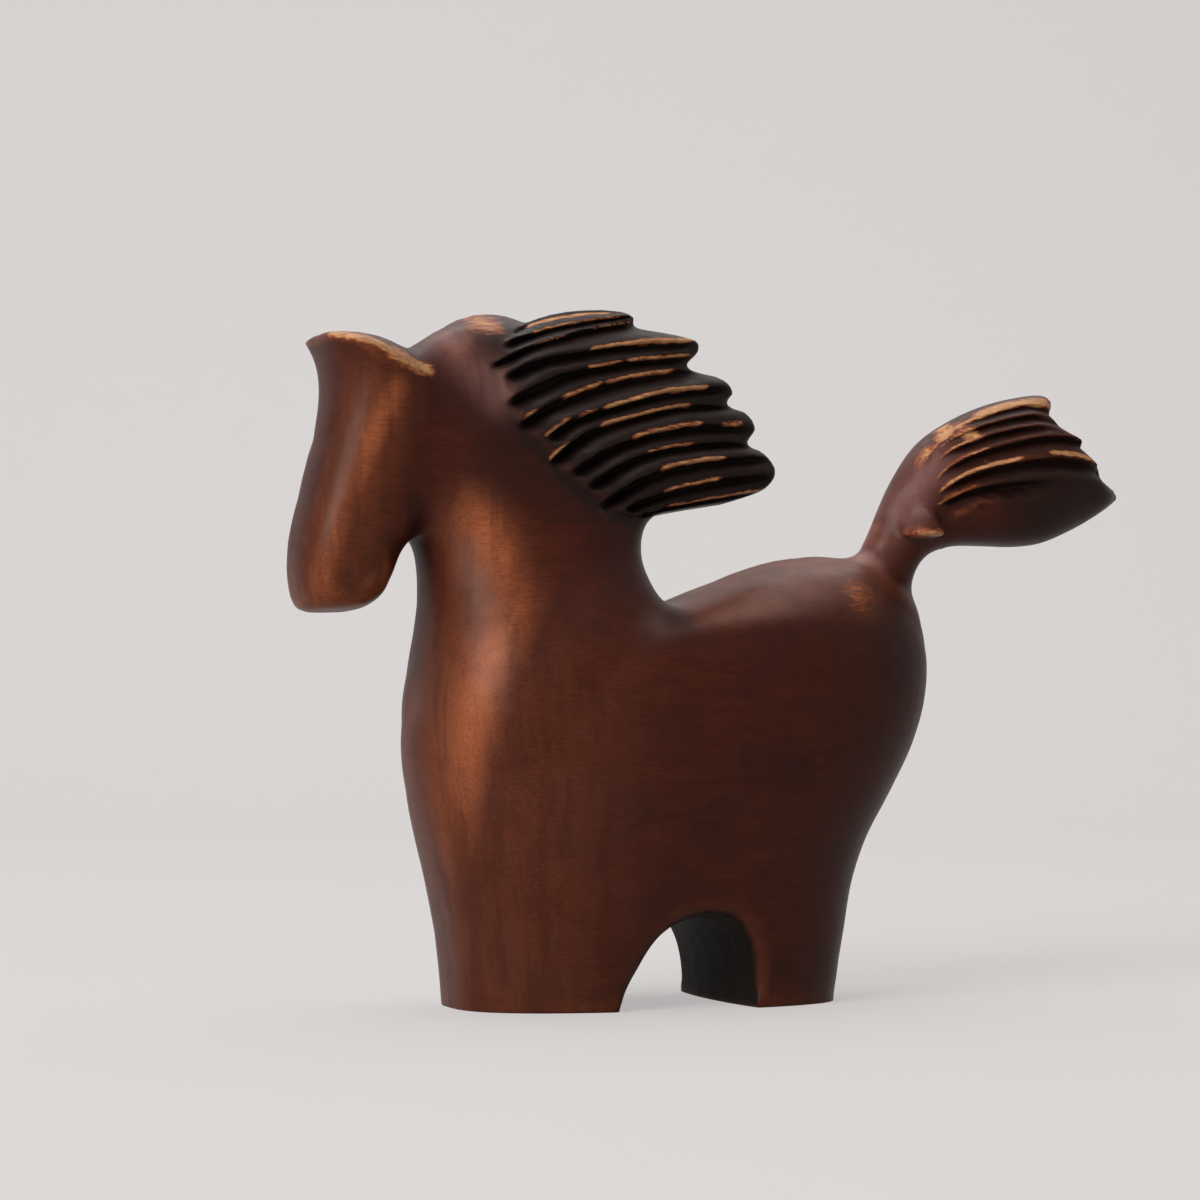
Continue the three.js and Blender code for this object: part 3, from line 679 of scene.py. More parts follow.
def carve_mane(mesh, depth):
    ease_mane_roots(mesh)
    points = read_points(mesh)
    along, _, gap = read_mane(points)
    subdivide_where(mesh, (gap < CARVE_REACH) & (along > 0.004))
    points = read_points(mesh)
    along, strand, gap = read_mane(points)
    cut, _ = strand_cut(along, strand, points)
    edge = np.maximum(1 - np.abs(2 * strand / MANE_STRANDS - 1) ** 3, 0) ** (1 / 3)
    root_half = smooth_rows(MANE_ROOT_HALVES, strand)[:, 0]
    body = root_half + (MANE_TIP_HALF - root_half) * along
    end = np.sqrt(np.maximum(1 - along ** 8, 0))
    x = points[:, 0]
    drawn = smooth_step(0.1, 0.32, along)
    half = np.abs(x) + (body * edge * end - np.abs(x)) * drawn
    swell = 0.9 * smooth_step(0, 0.08, along) * (1 - smooth_step(0.16, 0.42, along))
    half = half + swell * edge * (1 - 1.6 * cut) - depth * end * edge * cut
    inner = (gap < CARVE_REACH) * (1 - smooth_step(0.93, 0.99, along))
    inner *= smooth_step(0.1, 0.5, strand) * (1 - smooth_step(MANE_STRANDS - 0.5, MANE_STRANDS - 0.1, strand))
    move = np.clip(np.maximum(half, 0.2) - np.abs(x), -3, 1.4) * inner
    points[:, 0] = x + np.sign(x) * move * (np.abs(x) > 0.4)
    write_points(mesh, points)


def ease_curl(mesh):
    """Runs the curl into the stem of the tail above its lip."""
    points, edges = read_points(mesh), read_edges(mesh)
    above = near_place(points, (CURL_CENTRE[0], CURL_CENTRE[1] + 5), 6)
    above *= smooth_step(2, 5, np.abs(points[:, 0])) * smooth_step(0.6, 3, points[:, 2] - CURL_CENTRE[1])
    write_points(mesh, relax(points, edges, 0.5 * above, 70))


def carve_tail(mesh, depth):
    ease_curl(mesh)
    points = read_points(mesh)
    along, _, gap = read_tail(points)
    subdivide_where(mesh, (gap < CARVE_REACH) & (along > 0.25))
    points = read_points(mesh)
    along, across, gap = read_tail(points)
    strand = tail_strand(along, across)
    slow = hand_wander(points * (1, 0.35, 1), 5, 2)
    quick = hand_wander(points * (1, 0.6, 1), 2, 5)
    cut = tail_groove(along, strand + (0.1 * slow + 0.05 * quick))
    steps = np.linspace(0, 1, len(TAIL_SECTIONS))
    half_width = smooth_rows([(step, row[2]) for step, row in zip(steps, TAIL_SECTIONS)], along)[:, 0]
    side = np.maximum(1 - np.abs(2 * across - 1) ** 2.2, 0) ** (1 / 2.2)
    half = np.maximum(half_width - depth * cut, 0.35 * half_width) * side
    x = points[:, 0]
    curl = np.hypot(points[:, 1] - CURL_CENTRE[0], points[:, 2] - CURL_CENTRE[1] - 3)
    inner = smooth_step(0.26, 0.33, along) * (1 - smooth_step(0.94, 0.99, along)) * (gap < CARVE_REACH)
    middle = smooth_step(0.015, 0.06, across) * (1 - smooth_step(0.94, 0.985, across))
    inner *= middle * smooth_step(6, 8, curl)
    move = np.clip(np.maximum(half, 0.2) - np.abs(x), -2.4, 1.2) * inner
    points[:, 0] = x + np.sign(x) * move * (np.abs(x) > 0.4)

    # The end of the upper strands, where they run together
    end = smooth_step(0.78, 0.86, along) * smooth_step(0.8, 1.3, strand) * (1 - smooth_step(3, 3.6, strand))
    end *= gap < END_REACH
    write_points(mesh, relax(points, read_edges(mesh), 0.5 * end, 30))


# Marks of stain and wear

# How far off its chart a point of the carving may lie to be marked as mane or tail
MARK_REACH = 0.5


def worn_stretch(rows, place, along, run_out):
    """How worn a crest is: rows of crest, start, end and strength, fading out at both ends of the stretch."""
    worn = np.zeros(len(place))
    for crest, start, end, strength in rows:
        across = np.exp(-(((place - crest + 0.03) / 0.11) ** 2))
        begun = smooth_step(start - run_out, start + run_out, along)
        ended = smooth_step(end - run_out, end + run_out, along)
        worn = np.maximum(worn, strength * across * (begun * (1 - ended)))
    return worn


def mane_marks(points, edges):
    """How bare, dark and deep in a cut the mane is, with the stain's shade around it, and what is mane."""
    along, strand, gap = read_mane(points)
    on_mane = (gap < MARK_REACH) & (along > 0.005)
    cut, place = strand_cut(along, strand, points)
    in_cut = np.where(on_mane, cut * (1 - smooth_step(0.94, 1, along)), 0)
    outside = np.abs(points[:, 0]) > 1.5
    bare = np.where(on_mane & outside, worn_stretch(MANE_WORN, place, points[:, 1], 1.2), 0)
    mane = np.where(gap < MARK_REACH, smooth_step(0, 0.12, along), 0)
    halo = soften(mane, edges, 0.8, 110)
    root_line = mane_place(np.full(40, 0.01), np.linspace(0, MANE_STRANDS, 40))
    near_root = distance_to_line(points, root_line)
    shade = np.maximum(0.95 * np.exp(-((near_root / 3) ** 2)), 0.55 * np.exp(-((near_root / 9) ** 2)))
    dark = np.maximum.reduce((mane, np.clip(1.25 * halo, 0, 1), shade * (points[:, 2] > 95)))
    return bare, dark, in_cut, mane


def tail_marks(points):
    """How bare, dark and deep in a cut the tail is."""
    wide, height = np.abs(points[:, 0]), points[:, 2]
    along, across, gap = read_tail(points)
    strand = tail_strand(along, across)
    on_tail = gap < MARK_REACH
    in_cut = np.where(on_tail, tail_groove(along, strand), 0)
    lips = worn_stretch(TAIL_WORN, strand + 0.35, along, 0.02)
    patchy = np.clip(0.75 + 0.9 * hand_wander(points, 4.5, 3), 0, 1)
    band = smooth_step(0.4, 0.52, along) * np.exp(-(((strand - 0.56) / 0.36) ** 4)) * patchy
    patch = 0.75 * near_line(points, TAIL_PATCH, 1.8) * patchy
    bare = np.where(on_tail & (wide > 0.6), np.maximum.reduce((lips, band, patch)), 0)
    fan = smooth_step(0.42, 0.6, along)
    dark = np.where(on_tail, fan * (0.35 + 0.5 * smooth_step(4.7, 5.6, strand)), 0)
    lip = np.exp(-((height - CURL_CENTRE[1] - 0.6) ** 2))
    lip = near_place(points, CURL_CENTRE, 5) * lip * (wide > 6.5)
    return np.maximum(bare, 0.6 * lip), dark, in_cut


def scuffed(points):
    return near_place(points, SCUFF, 5) * smooth_step(3, 6, np.abs(points[:, 0]))


def worn_edges(points, normals):
    """How bare the wood is along the rim of the head, on top of the neck and on the rump."""
    wide = np.abs(points[:, 0])
    rim = near_line(points, HEAD_RIM, 1) * smooth_step(6, 9, wide)
    patch = near_line(points, HEAD_PATCH, 1.8) * smooth_step(8, 11, wide)
    poll = near_place(points, POLL, 4) * smooth_step(0.4, 0.9, normals[:, 2])
    return np.maximum.reduce((0.9 * rim, 0.75 * patch, 0.65 * poll, 0.3 * scuffed(points)))


def head_share(points):
    """1 on the head, running out to 0 behind the cheek, farther back towards the top."""
    _, y, z = points.T
    above = smooth_step(90, 102, z)
    return in_region("head", points) * (1 - smooth_step(-68.5 - 5.5 * above, -66.8 + 4.8 * above, y))


def corner_place(points):
    return CORNER_BY_WIDTH * np.abs(points[:, 0]) + CORNER_BY_LENGTH * (points[:, 1] - CORNER_START)


def chest_ridge(points):
    """How burnished the ridge between chest and flank is, with its painted highlight: it runs out softly
    towards the chest.
    """
    x, y, z = points.T
    off = corner_place(points) - smooth_rows(CHEST_RIDGE, z)[:, 0]
    to_chest = 0.4 * np.exp(-((off / 3.5) ** 2)) + 0.6 * np.exp(-((off / 10) ** 2))
    ridge = np.where(off > 0, np.exp(-((off / 5.5) ** 2)), to_chest)
    rising = 0.15 + 0.85 * smooth_step(12, 62, z)
    ridge *= rising * smooth_step(3, 8, np.abs(x)) * (1 - smooth_step(-30, -20, y))
    ridge *= (1 - head_share(points)) * (1 - smooth_step(93, 106, z))
    return ridge


def rubbed_and_highlight_marks(points, edges, normals, mane):
    """How thin the stain is rubbed, with painted highlights on the ridges of chest and cheek and on the
    top of the back.
    """
    x, y, z = points.T
    head = head_share(points)
    convex = stand_out(points, edges, normals, 14)
    # Burnished ridge of the cheek, which also carries a painted highlight
    cheek = np.maximum(0.85 * near_line(points, CHEEK_RIDGE, 3), 0.36 * near_line(points, CHEEK_RIDGE, 9))
    cheek *= head * smooth_step(5, 9, np.abs(x))
    muzzle = (1 - smooth_step(82, 92, z)) * head
    # Painted highlight where the back faces up
    back = smooth_step(0.45, 0.95, normals[:, 2]) * smooth_step(-30, -10, y) * (z > 70) * (z < 100)
    foot = 0.08 * (1 - smooth_step(2, 9, z))
    foot_edge = 0.14 * smooth_step(0.03, 0.12, convex) * (1 - smooth_step(22, 28, z))
    fore = 0.2 * (1 - smooth_step(-50, -15, y)) * (1 - head) * (1 - smooth_step(60, 92, z))
    breast = 0.08 * (1 - smooth_step(-34, -24, corner_place(points)))
    breast *= smooth_step(10, 35, z) * (1 - smooth_step(62, 74, z))
    edge = 0.5 * smooth_step(0.03, 0.14, convex) * (1 - mane) * smooth_step(24, 30, z)
    return np.maximum.reduce((
        fore, breast, chest_ridge(points), cheek, 0.28 * muzzle, 0.4 * back, foot + foot_edge,
        0.45 * scuffed(points), edge))


def arch_walls(points, edges, normals):
    """1 on the walls and the crown under the arch, where shade is painted."""
    across = in_arch(points, ARCH_TOP + 2) & (points[:, 2] > 0.2) & (np.abs(normals[:, 0]) < 0.6)
    return soften(across.astype(float), edges, 0.6, 4)


def mark_wear_stain_and_light(mesh, amount):
    """Stores at each point how bare and how rubbed the wood is, with painted highlights, how dark its stain
    and painted shade make it, where a mauve sheen is painted, and how deep in a cut it lies.
    """
    points, edges, normals = read_points(mesh), read_edges(mesh), read_normals(mesh)
    x, y, z = points.T
    mane_bare, mane_dark, mane_cut, mane = mane_marks(points, edges)
    tail_bare, tail_dark, tail_cut = tail_marks(points)
    bare = np.maximum.reduce((mane_bare, tail_bare, worn_edges(points, normals)))
    rubbed_and_highlight = rubbed_and_highlight_marks(points, edges, normals, mane)
    # Painted shade in the hollow before the back
    hollow = 0.6 * near_place(points, HOLLOW, 4) * smooth_step(3, 10, np.abs(x))
    # Painted shade down the front edge of neck and chest, under the head
    front = 0.75 * (1 - smooth_step(-38, -33, corner_place(points)))
    front *= smooth_step(58, 70, z) * (1 - head_share(points))
    # Painted shade, darker towards the rump and low down
    painted_rump_shade = 0.4 * smooth_step(0, 35, y) * (1 - smooth_step(70, 85, z))
    # Painted shade on the walls under the arch
    walls = arch_walls(points, edges, normals)
    dark = np.clip(np.maximum.reduce((mane_dark, tail_dark, hollow, front, painted_rump_shade, walls)), 0, 1)
    # The hollow and the arch walls count as cuts too, so that their painted shade is darkest
    in_cut = np.maximum.reduce((mane_cut, tail_cut, 0.6 * hollow, walls))
    # Painted sheen, lighter and mauve, on the neck crest and the tail stem
    painted_sheen = np.maximum.reduce([near_line(points, line, 4) for line in PAINTED_SHEEN_LINES])
    store(mesh, "painted_sheen", painted_sheen * (1 - in_cut))
    store(mesh, "bare", np.clip(bare * amount, 0, 1))
    store(mesh, "rubbed_and_highlight", np.clip(rubbed_and_highlight, 0, 1) * (1 - 0.8 * dark))
    store(mesh, "dark", dark)
    store(mesh, "cut", np.clip(in_cut, 0, 1))


# Parting the carving along its glue lines

# A point this far past a glue line is surely on the glued blank, which has less than this share of all faces
SURE_REACH = 8
LARGEST_SHARE = 0.6


def part_blank(mesh):
    """Cuts the carving along its glue lines and returns one closed mesh a piece."""
    bm = bmesh.new()
    bm.from_mesh(mesh)
    keep = bm.verts.layers.float_vector.new("kept_normal")
    bm.normal_update()
    for vert in bm.verts:
        vert[keep] = vert.normal
    bm.faces.layers.int.new("cap")
    pieces = {}
    for name in GLUE_LINES:
        start, out = glue_frame(name)
        centre = Vector((0, start[0], start[1])) * MM
        away = Vector((0, out[0], out[1]))
        near = [face for face in bm.faces if in_box(name, face.calc_center_median())]
        verts = once_each(vert for face in near for vert in face.verts)
        lines = once_each(edge for face in near for edge in face.edges)
        made = bmesh.ops.bisect_plane(
            bm, geom=verts + lines + near, plane_co=centre, plane_no=away, dist=1e-7)
        bmesh.ops.split_edges(bm, edges=of_type(made["geom_cut"], bmesh.types.BMEdge))
        past = [vert for vert in bm.verts if (vert.co - centre).dot(away) > SURE_REACH * MM]
        part = joined_to(next(vert for vert in past if in_box(name, vert.co)))
        faces = [face for face in bm.faces if face.verts[0] in part]
        if len(faces) > LARGEST_SHARE * len(bm.faces):
            raise RuntimeError(f"the {name} did not part from the body")
        bm.faces.index_update()
        chosen = {face.index for face in faces}
        copy = bm.copy()
        others = [face for face in copy.faces if face.index not in chosen]
        bmesh.ops.delete(copy, geom=others, context="FACES")
        bmesh.ops.delete(bm, geom=faces, context="FACES")
        close_joint(copy, name, -1)
        close_joint(bm, name, 1)
        pieces[name] = finished_mesh(copy, name)
    pieces["body"] = finished_mesh(bm, "body")
    return pieces


def in_box(name, place):
    (y_low, z_low), (y_high, z_high) = REGIONS[name]
    return y_low * MM < place.y < y_high * MM and z_low * MM < place.z < z_high * MM


def close_joint(bm, name, side):
    """Closes a cut with a flat joint face and its dowel bores. The side is 1 on the body, -1 on the blank."""
    start, out = glue_frame(name)
    end = np.array(GLUE_LINES[name][1], float)
    away = Vector((0, out[0], out[1])) * side
    rim = [edge for edge in bm.edges if edge.is_boundary]
    cap = bm.faces.layers.int["cap"]
    circles = []
    for share, radius, depth in BORES[name]:
        place = start + (end - start) * share
        turn = away.to_track_quat("Z", "Y").to_matrix().to_4x4()
        centre = Matrix.Translation(Vector((0, place[0], place[1])) * MM)
        circle = bmesh.ops.create_circle(
            bm, cap_ends=False, segments=BORE_SIDES, radius=radius * MM, matrix=centre @ turn)
        edges = once_each(edge for vert in circle["verts"] for edge in vert.link_edges)
        circles.append((edges, depth))
    faces = bmesh.ops.triangle_fill(
        bm, edges=rim + [edge for edges, _ in circles for edge in edges], use_beauty=True, normal=away)
    made = of_type(faces["geom"], bmesh.types.BMFace)
    for edges, depth in circles:
        walls = bmesh.ops.extrude_edge_only(bm, edges=edges)["geom"]
        made += of_type(walls, bmesh.types.BMFace)
        bmesh.ops.translate(bm, verts=of_type(walls, bmesh.types.BMVert), vec=-away * depth * MM)
        last = [edge for edge in of_type(walls, bmesh.types.BMEdge) if edge.is_boundary]
        made += of_type(bmesh.ops.triangle_fill(bm, edges=last, use_beauty=True)["geom"], bmesh.types.BMFace)
    for face in made:
        face[cap] = 1
        face.smooth = False


def finished_mesh(bm, name):
    bmesh.ops.recalc_face_normals(bm, faces=bm.faces)
    mesh = bpy.data.meshes.new("carved_" + name)
    bm.to_mesh(mesh)
    bm.free()
    kept = np.empty(len(mesh.vertices) * 3)
    mesh.attributes["kept_normal"].data.foreach_get("vector", kept)
    kept = kept.reshape(-1, 3)
    caps = np.empty(len(mesh.polygons), np.int32)
    mesh.attributes["cap"].data.foreach_get("value", caps)
    corner_vert = np.empty(len(mesh.loops), np.int32)
    mesh.loops.foreach_get("vertex_index", corner_vert)
    normals = kept[corner_vert]
    totals = np.empty(len(mesh.polygons), np.int32)
    mesh.polygons.foreach_get("loop_total", totals)
    flat = np.empty(len(mesh.polygons) * 3)
    mesh.polygons.foreach_get("normal", flat)
    on_cap = np.repeat(caps, totals).astype(bool)
    normals[on_cap] = np.repeat(flat.reshape(-1, 3), totals, axis=0)[on_cap]
    for layer in ("kept_normal", "cap"):
        mesh.attributes.remove(mesh.attributes[layer])
    mesh.normals_split_custom_set(normals.tolist())
    return mesh


# Materials

def add(tree, kind, inputs=None, **values):
    """A node with its settings, its inputs given as numbers or as the sockets that feed them."""
    made = tree.nodes.new(kind)
    for key, value in values.items():
        setattr(made, key, value)
    for socket, value in (inputs or {}).items():
        target = made.inputs[socket]
        if isinstance(value, bpy.types.NodeSocket):
            tree.links.new(value, target)
        else:
            target.default_value = value
    return made


def calc(tree, operation, *values, clamp=False):
    made = tree.nodes.new("ShaderNodeMath")
    made.operation = operation
    made.use_clamp = clamp
    for target, value in zip(made.inputs, values):
        if isinstance(value, bpy.types.NodeSocket):
            tree.links.new(value, target)
        else:
            target.default_value = value
    return made.outputs[0]


def spread(tree, value, low, high, to_low=0.0, to_high=1.0):
    return add(tree, "ShaderNodeMapRange", {
        "Value": value, "From Min": low, "From Max": high, "To Min": to_low, "To Max": to_high,
    }, interpolation_type="SMOOTHSTEP").outputs["Result"]


def blend(tree, share, first, second):
    made = tree.nodes.new("ShaderNodeMix")
    made.data_type = "RGBA"
    for index, value in ((0, share), (6, first), (7, second)):
        if isinstance(value, bpy.types.NodeSocket):
            tree.links.new(value, made.inputs[index])
        else:
            made.inputs[index].default_value = value if index == 0 else (*value[:3], 1)
    return made.outputs[2]


def stretched(tree, place, scale):
    """The place on a pattern that is drawn out along one axis."""
    return add(tree, "ShaderNodeMapping", {"Vector": place, "Scale": scale}).outputs["Vector"]


def cloudy(tree, place, scale=1, detail=4, roughness=0.6):
    """A noise around 0.5."""
    return add(tree, "ShaderNodeTexNoise", {
        "Vector": place, "Scale": scale, "Detail": detail, "Roughness": roughness,
    }).outputs["Fac"]


def dimmed(colour, share):
    return tuple(channel * share for channel in colour)


def new_material(name):
    material = bpy.data.materials.new(name)
    material.use_nodes = True
    tree = material.node_tree
    tree.nodes.clear()
    output = tree.nodes.new("ShaderNodeOutputMaterial")
    shader = tree.nodes.new("ShaderNodeBsdfPrincipled")
    tree.links.new(shader.outputs["BSDF"], output.inputs["Surface"])
    return material, tree, shader


def raise_grain(tree, shader, height, strength, distance):
    bump = add(tree, "ShaderNodeBump", {"Height": height, "Strength": strength, "Distance": distance})
    tree.links.new(bump.outputs["Normal"], shader.inputs["Normal"])


def stained_wood(name, settings):
    material, tree, shader = new_material(name)
    place = add(tree, "ShaderNodeTexCoord").outputs["Object"]
    bare, rubbed_and_highlight, dark, cut, painted_sheen = (
        add(tree, "ShaderNodeAttribute", attribute_name=key).outputs["Fac"]
        for key in ("bare", "rubbed_and_highlight", "dark", "cut", "painted_sheen"))

    # Grain runs along the horse, so that it shows as streaks on the flanks and as pores on chest and rump
    grain = cloudy(tree, stretched(tree, place, (2600, 260, 2600)))
    growth = cloudy(tree, stretched(tree, place, (420, 60, 420)), detail=3, roughness=0.55)
    chips = cloudy(tree, stretched(tree, place, (1300, 240, 1300)), detail=5, roughness=0.7)
    cloud = cloudy(tree, place, 55)
    dust = cloudy(tree, place, 1900, detail=2, roughness=0.5)

    # Stain, thinner where it is rubbed and on painted highlights, blackened on the mane, and darkened with
    #     # painted shade in the cuts, the hollow, under the arch, on the chest front and on the rump
    red, green, blue = settings.stain
    plum = (red * 0.62, green * 0.72, blue * 1.15)
    tone = calc(tree, "ADD", calc(tree, "MULTIPLY", grain, 0.6), calc(tree, "MULTIPLY", growth, 0.4))
    deep, light = dimmed(settings.stain, 0.78), dimmed(settings.stain, 1.2)
    stain = blend(tree, spread(tree, tone, 0.34, 0.66), deep, light)
    stain = blend(tree, spread(tree, cloud, 0.4, 0.62, 0, 0.75), stain, plum)
    strokes = spread(tree, cloudy(tree, stretched(tree, place, (210, 210, 26))), 0.36, 0.56, 0.55, 1)
    patches = calc(tree, "MULTIPLY", spread(tree, cloud, 0.3, 0.6, 0.45, 1), strokes)
    pores = spread(tree, grain, 0.34, 0.6, 0.7, 1)
    thin = calc(tree, "MULTIPLY", calc(tree, "MULTIPLY", rubbed_and_highlight, patches), pores, clamp=True)
    stain = blend(tree, thin, stain, settings.rubbed_and_highlight)
    # Blackened by the mane's stain, and darkened by painted shade on the chest front, the rump and under the
    # arch
    stain = blend(tree, calc(tree, "MULTIPLY", dark, 0.96), stain, settings.dark)
    # Painted sheen: a lighter mauve highlight laid into the colour
    sheen = calc(tree, "MULTIPLY", calc(tree, "MULTIPLY", painted_sheen, 0.6), patches)
    stain = blend(tree, sheen, stain, settings.painted_sheen)
    # Painted shade, darkest in the cuts, the hollow and under the arch
    stain = blend(tree, calc(tree, "MULTIPLY", cut, 0.92), stain, dimmed(settings.dark, 0.3))

    # Bare wood where the edges are worn, in flakes along the grain, with thin stain around them
    coarse = calc(tree, "MULTIPLY", calc(tree, "SUBTRACT", chips, 0.5), 1.5)
    fine = calc(tree, "MULTIPLY", calc(tree, "SUBTRACT", grain, 0.5), 0.5)
    value = calc(tree, "ADD", bare, calc(tree, "ADD", coarse, fine))
    gate = spread(tree, bare, 0.06, 0.3)
    halo = calc(tree, "MULTIPLY", spread(tree, value, 0.16, 0.46), gate)
    worn = calc(tree, "MULTIPLY", spread(tree, value, 0.4, 0.72), gate)
    wood = blend(tree, spread(tree, grain, 0.3, 0.7), dimmed(settings.bare, 0.5), settings.bare)
    speck = calc(tree, "MULTIPLY", spread(tree, dust, 0.74, 0.8), 0.3)
    colour = blend(tree, calc(tree, "MULTIPLY", halo, 0.8), stain, settings.rubbed_and_highlight)
    colour = blend(tree, worn, colour, wood)
    colour = blend(tree, speck, colour, dimmed(settings.bare, 0.5))
    tree.links.new(colour, shader.inputs["Base Color"])

    # Smoother on rubbed stain, painted highlights and painted sheen, and duller on bare wood and in the cuts
    burnish = calc(tree, "MULTIPLY", calc(tree, "MAXIMUM", rubbed_and_highlight, painted_sheen), -0.08)
    rough = calc(tree, "ADD", spread(tree, tone, 0.35, 0.65, 0.38, 0.46), burnish)
    rough = calc(tree, "ADD", rough, calc(tree, "MULTIPLY", worn, 0.1))
    rough = calc(tree, "ADD", rough, calc(tree, "MULTIPLY", cut, 0.3))
    tree.links.new(rough, shader.inputs["Roughness"])
    shader.inputs["Specular IOR Level"].default_value = 0.11
    shader.inputs["Specular Tint"].default_value = (1, 0.8, 0.72, 1)
    height = calc(tree, "SUBTRACT", calc(tree, "MULTIPLY", grain, 0.6), calc(tree, "MULTIPLY", worn, 0.5))
    raise_grain(tree, shader, height, 0.15, 0.00025)
    return material


def bare_wood(name, settings):
    material, tree, shader = new_material(name)
    place = add(tree, "ShaderNodeTexCoord").outputs["Object"]
    grain = cloudy(tree, stretched(tree, place, (1800, 160, 1800)))
    colour = blend(tree, spread(tree, grain, 0.35, 0.65), dimmed(settings.bare, 0.6), settings.bare)
    tree.links.new(colour, shader.inputs["Base Color"])
    tree.links.new(spread(tree, grain, 0.3, 0.7, 0.55, 0.75), shader.inputs["Roughness"])
    raise_grain(tree, shader, grain, 0.2, 0.0002)
    return material


# Operators

class HORSE_OT_glue_up(bpy.types.Operator):
    """Joins the four blanks of the carving and runs them softly into each other"""
    bl_idname = "horse.glue_up"
    bl_label = "Glue up the blank"

    def execute(self, context):
        settings = context.scene.horse_settings
        blank = glue_up(settings)
        blend_unions(blank.data, settings.blend_rounds)
        return {"FINISHED"}


class HORSE_OT_carve_mane(bpy.types.Operator):
    """Cuts the strands of the mane"""
    bl_idname = "horse.carve_mane"
    bl_label = "Carve the mane"

    def execute(self, context):
        carve_mane(blank_mesh(), context.scene.horse_settings.mane_depth / MM)
        return {"FINISHED"}


class HORSE_OT_carve_tail(bpy.types.Operator):
    """Cuts the strands of the tail"""
    bl_idname = "horse.carve_tail"
    bl_label = "Carve the tail"

    def execute(self, context):
        carve_tail(blank_mesh(), context.scene.horse_settings.tail_depth / MM)
        return {"FINISHED"}


class HORSE_OT_part_and_stain(bpy.types.Operator):
    """Parts the carving along its glue lines and stains the pieces, with painted highlights and shade"""
    bl_idname = "horse.part_and_stain"
    bl_label = "Part and stain the pieces"

    def execute(self, context):
        settings = context.scene.horse_settings
        blank = bpy.data.objects[BLANK]
        mark_wear_stain_and_light(blank.data, settings.wear)
        stain = stained_wood("stained wood", settings)
        for name, mesh in part_blank(blank.data).items():
            piece = new_object("carved_" + name, mesh)
            mesh.materials.clear()
            mesh.materials.append(stain)
            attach(piece, "root")
            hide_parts(name)
        bpy.data.objects.remove(blank)
        return {"FINISHED"}


class HORSE_OT_dowels(bpy.types.Operator):
    """Gives the dowels inside the joints their bare wood"""
    bl_idname = "horse.dowels"
    bl_label = "Finish the dowels"

    def execute(self, context):
        wood = bare_wood("dowel wood", context.scene.horse_settings)
        for name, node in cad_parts.items():
            if "dowel" in name:
                for slot in node.material_slots:
                    slot.material = wood
        return {"FINISHED"}


class HORSE_OT_studio(bpy.types.Operator):
    """Sets the floor, the backdrop, the lamps, the room and the camera"""
    bl_idname = "horse.studio"
    bl_label = "Set the studio"

    def execute(self, context):
        set_stage(context.scene.studio_settings)
        set_lamps(context.scene.studio_settings)
        set_room(context.scene)
        set_camera(context.scene)
        return {"FINISHED"}


class HORSE_PT_panel(bpy.types.Panel):
    """Steps and settings of the carved horse"""
    bl_label = "Carved wooden horse"
    bl_idname = "HORSE_PT_panel"
    bl_space_type = "VIEW_3D"
    bl_region_type = "UI"
    bl_category = "Horse"

    def draw(self, context):
        layout = self.layout
        for step in STEPS:
            layout.operator(step.bl_idname)
        for group in (context.scene.horse_settings, context.scene.studio_settings):
            box = layout.box()
            for key in type(group).__annotations__:
                box.prop(group, key)


# Studio, in metres

BACKGROUND = (0.65, 0.615, 0.61)
PAPER_GLOW = 0.7
ROOM_COLOUR = (1, 0.98, 0.96)
ROOM_STRENGTH = 0.15

# Floor and backdrop in the camera's own direction: a flat floor, a quarter round and a wall
FLOOR_BACK = -0.9
FLOOR_LENGTH = 2.6
FLOOR_HALF = 1.6
SWEEP_RADIUS = 0.5
SWEEP_TURNS = 12
WALL_HEIGHT = 1.6

# Place and size of each lamp, and what both are aimed at
KEY_LAMP = ((0.86, -1.42, 0.85), 1.1)
TOP_LAMP = ((-0.5, 0.1, 1.5), 1.7)
LAMP_AIM = (0, 0, 0.07)

# Camera, level, with its turn in degrees, and its lens and sensor in millimetres
CAMERA_PLACE = (0.6578, -0.2658, 0.060)
CAMERA_TURN = 70
CAMERA_LENS = 105
CAMERA_SENSOR = 36
CAMERA_SHIFT = 0.0858


def seen_rays(tree):
    """1 for the rays by which the background is seen, directly or in a shiny surface."""
    path = add(tree, "ShaderNodeLightPath").outputs
    seen = calc(tree, "MAXIMUM", path["Is Camera Ray"], path["Is Glossy Ray"])
    return calc(tree, "MAXIMUM", seen, path["Is Transmission Ray"])


def draw_out(bm, edges, step):
    """Extrudes edges by a step and returns the new edges that run along them."""
    made = bmesh.ops.extrude_edge_only(bm, edges=edges)["geom"]
    verts = of_type(made, bmesh.types.BMVert)
    bmesh.ops.translate(bm, verts=verts, vec=step)
    return [edge for edge in of_type(made, bmesh.types.BMEdge) if all(vert in verts for vert in edge.verts)]


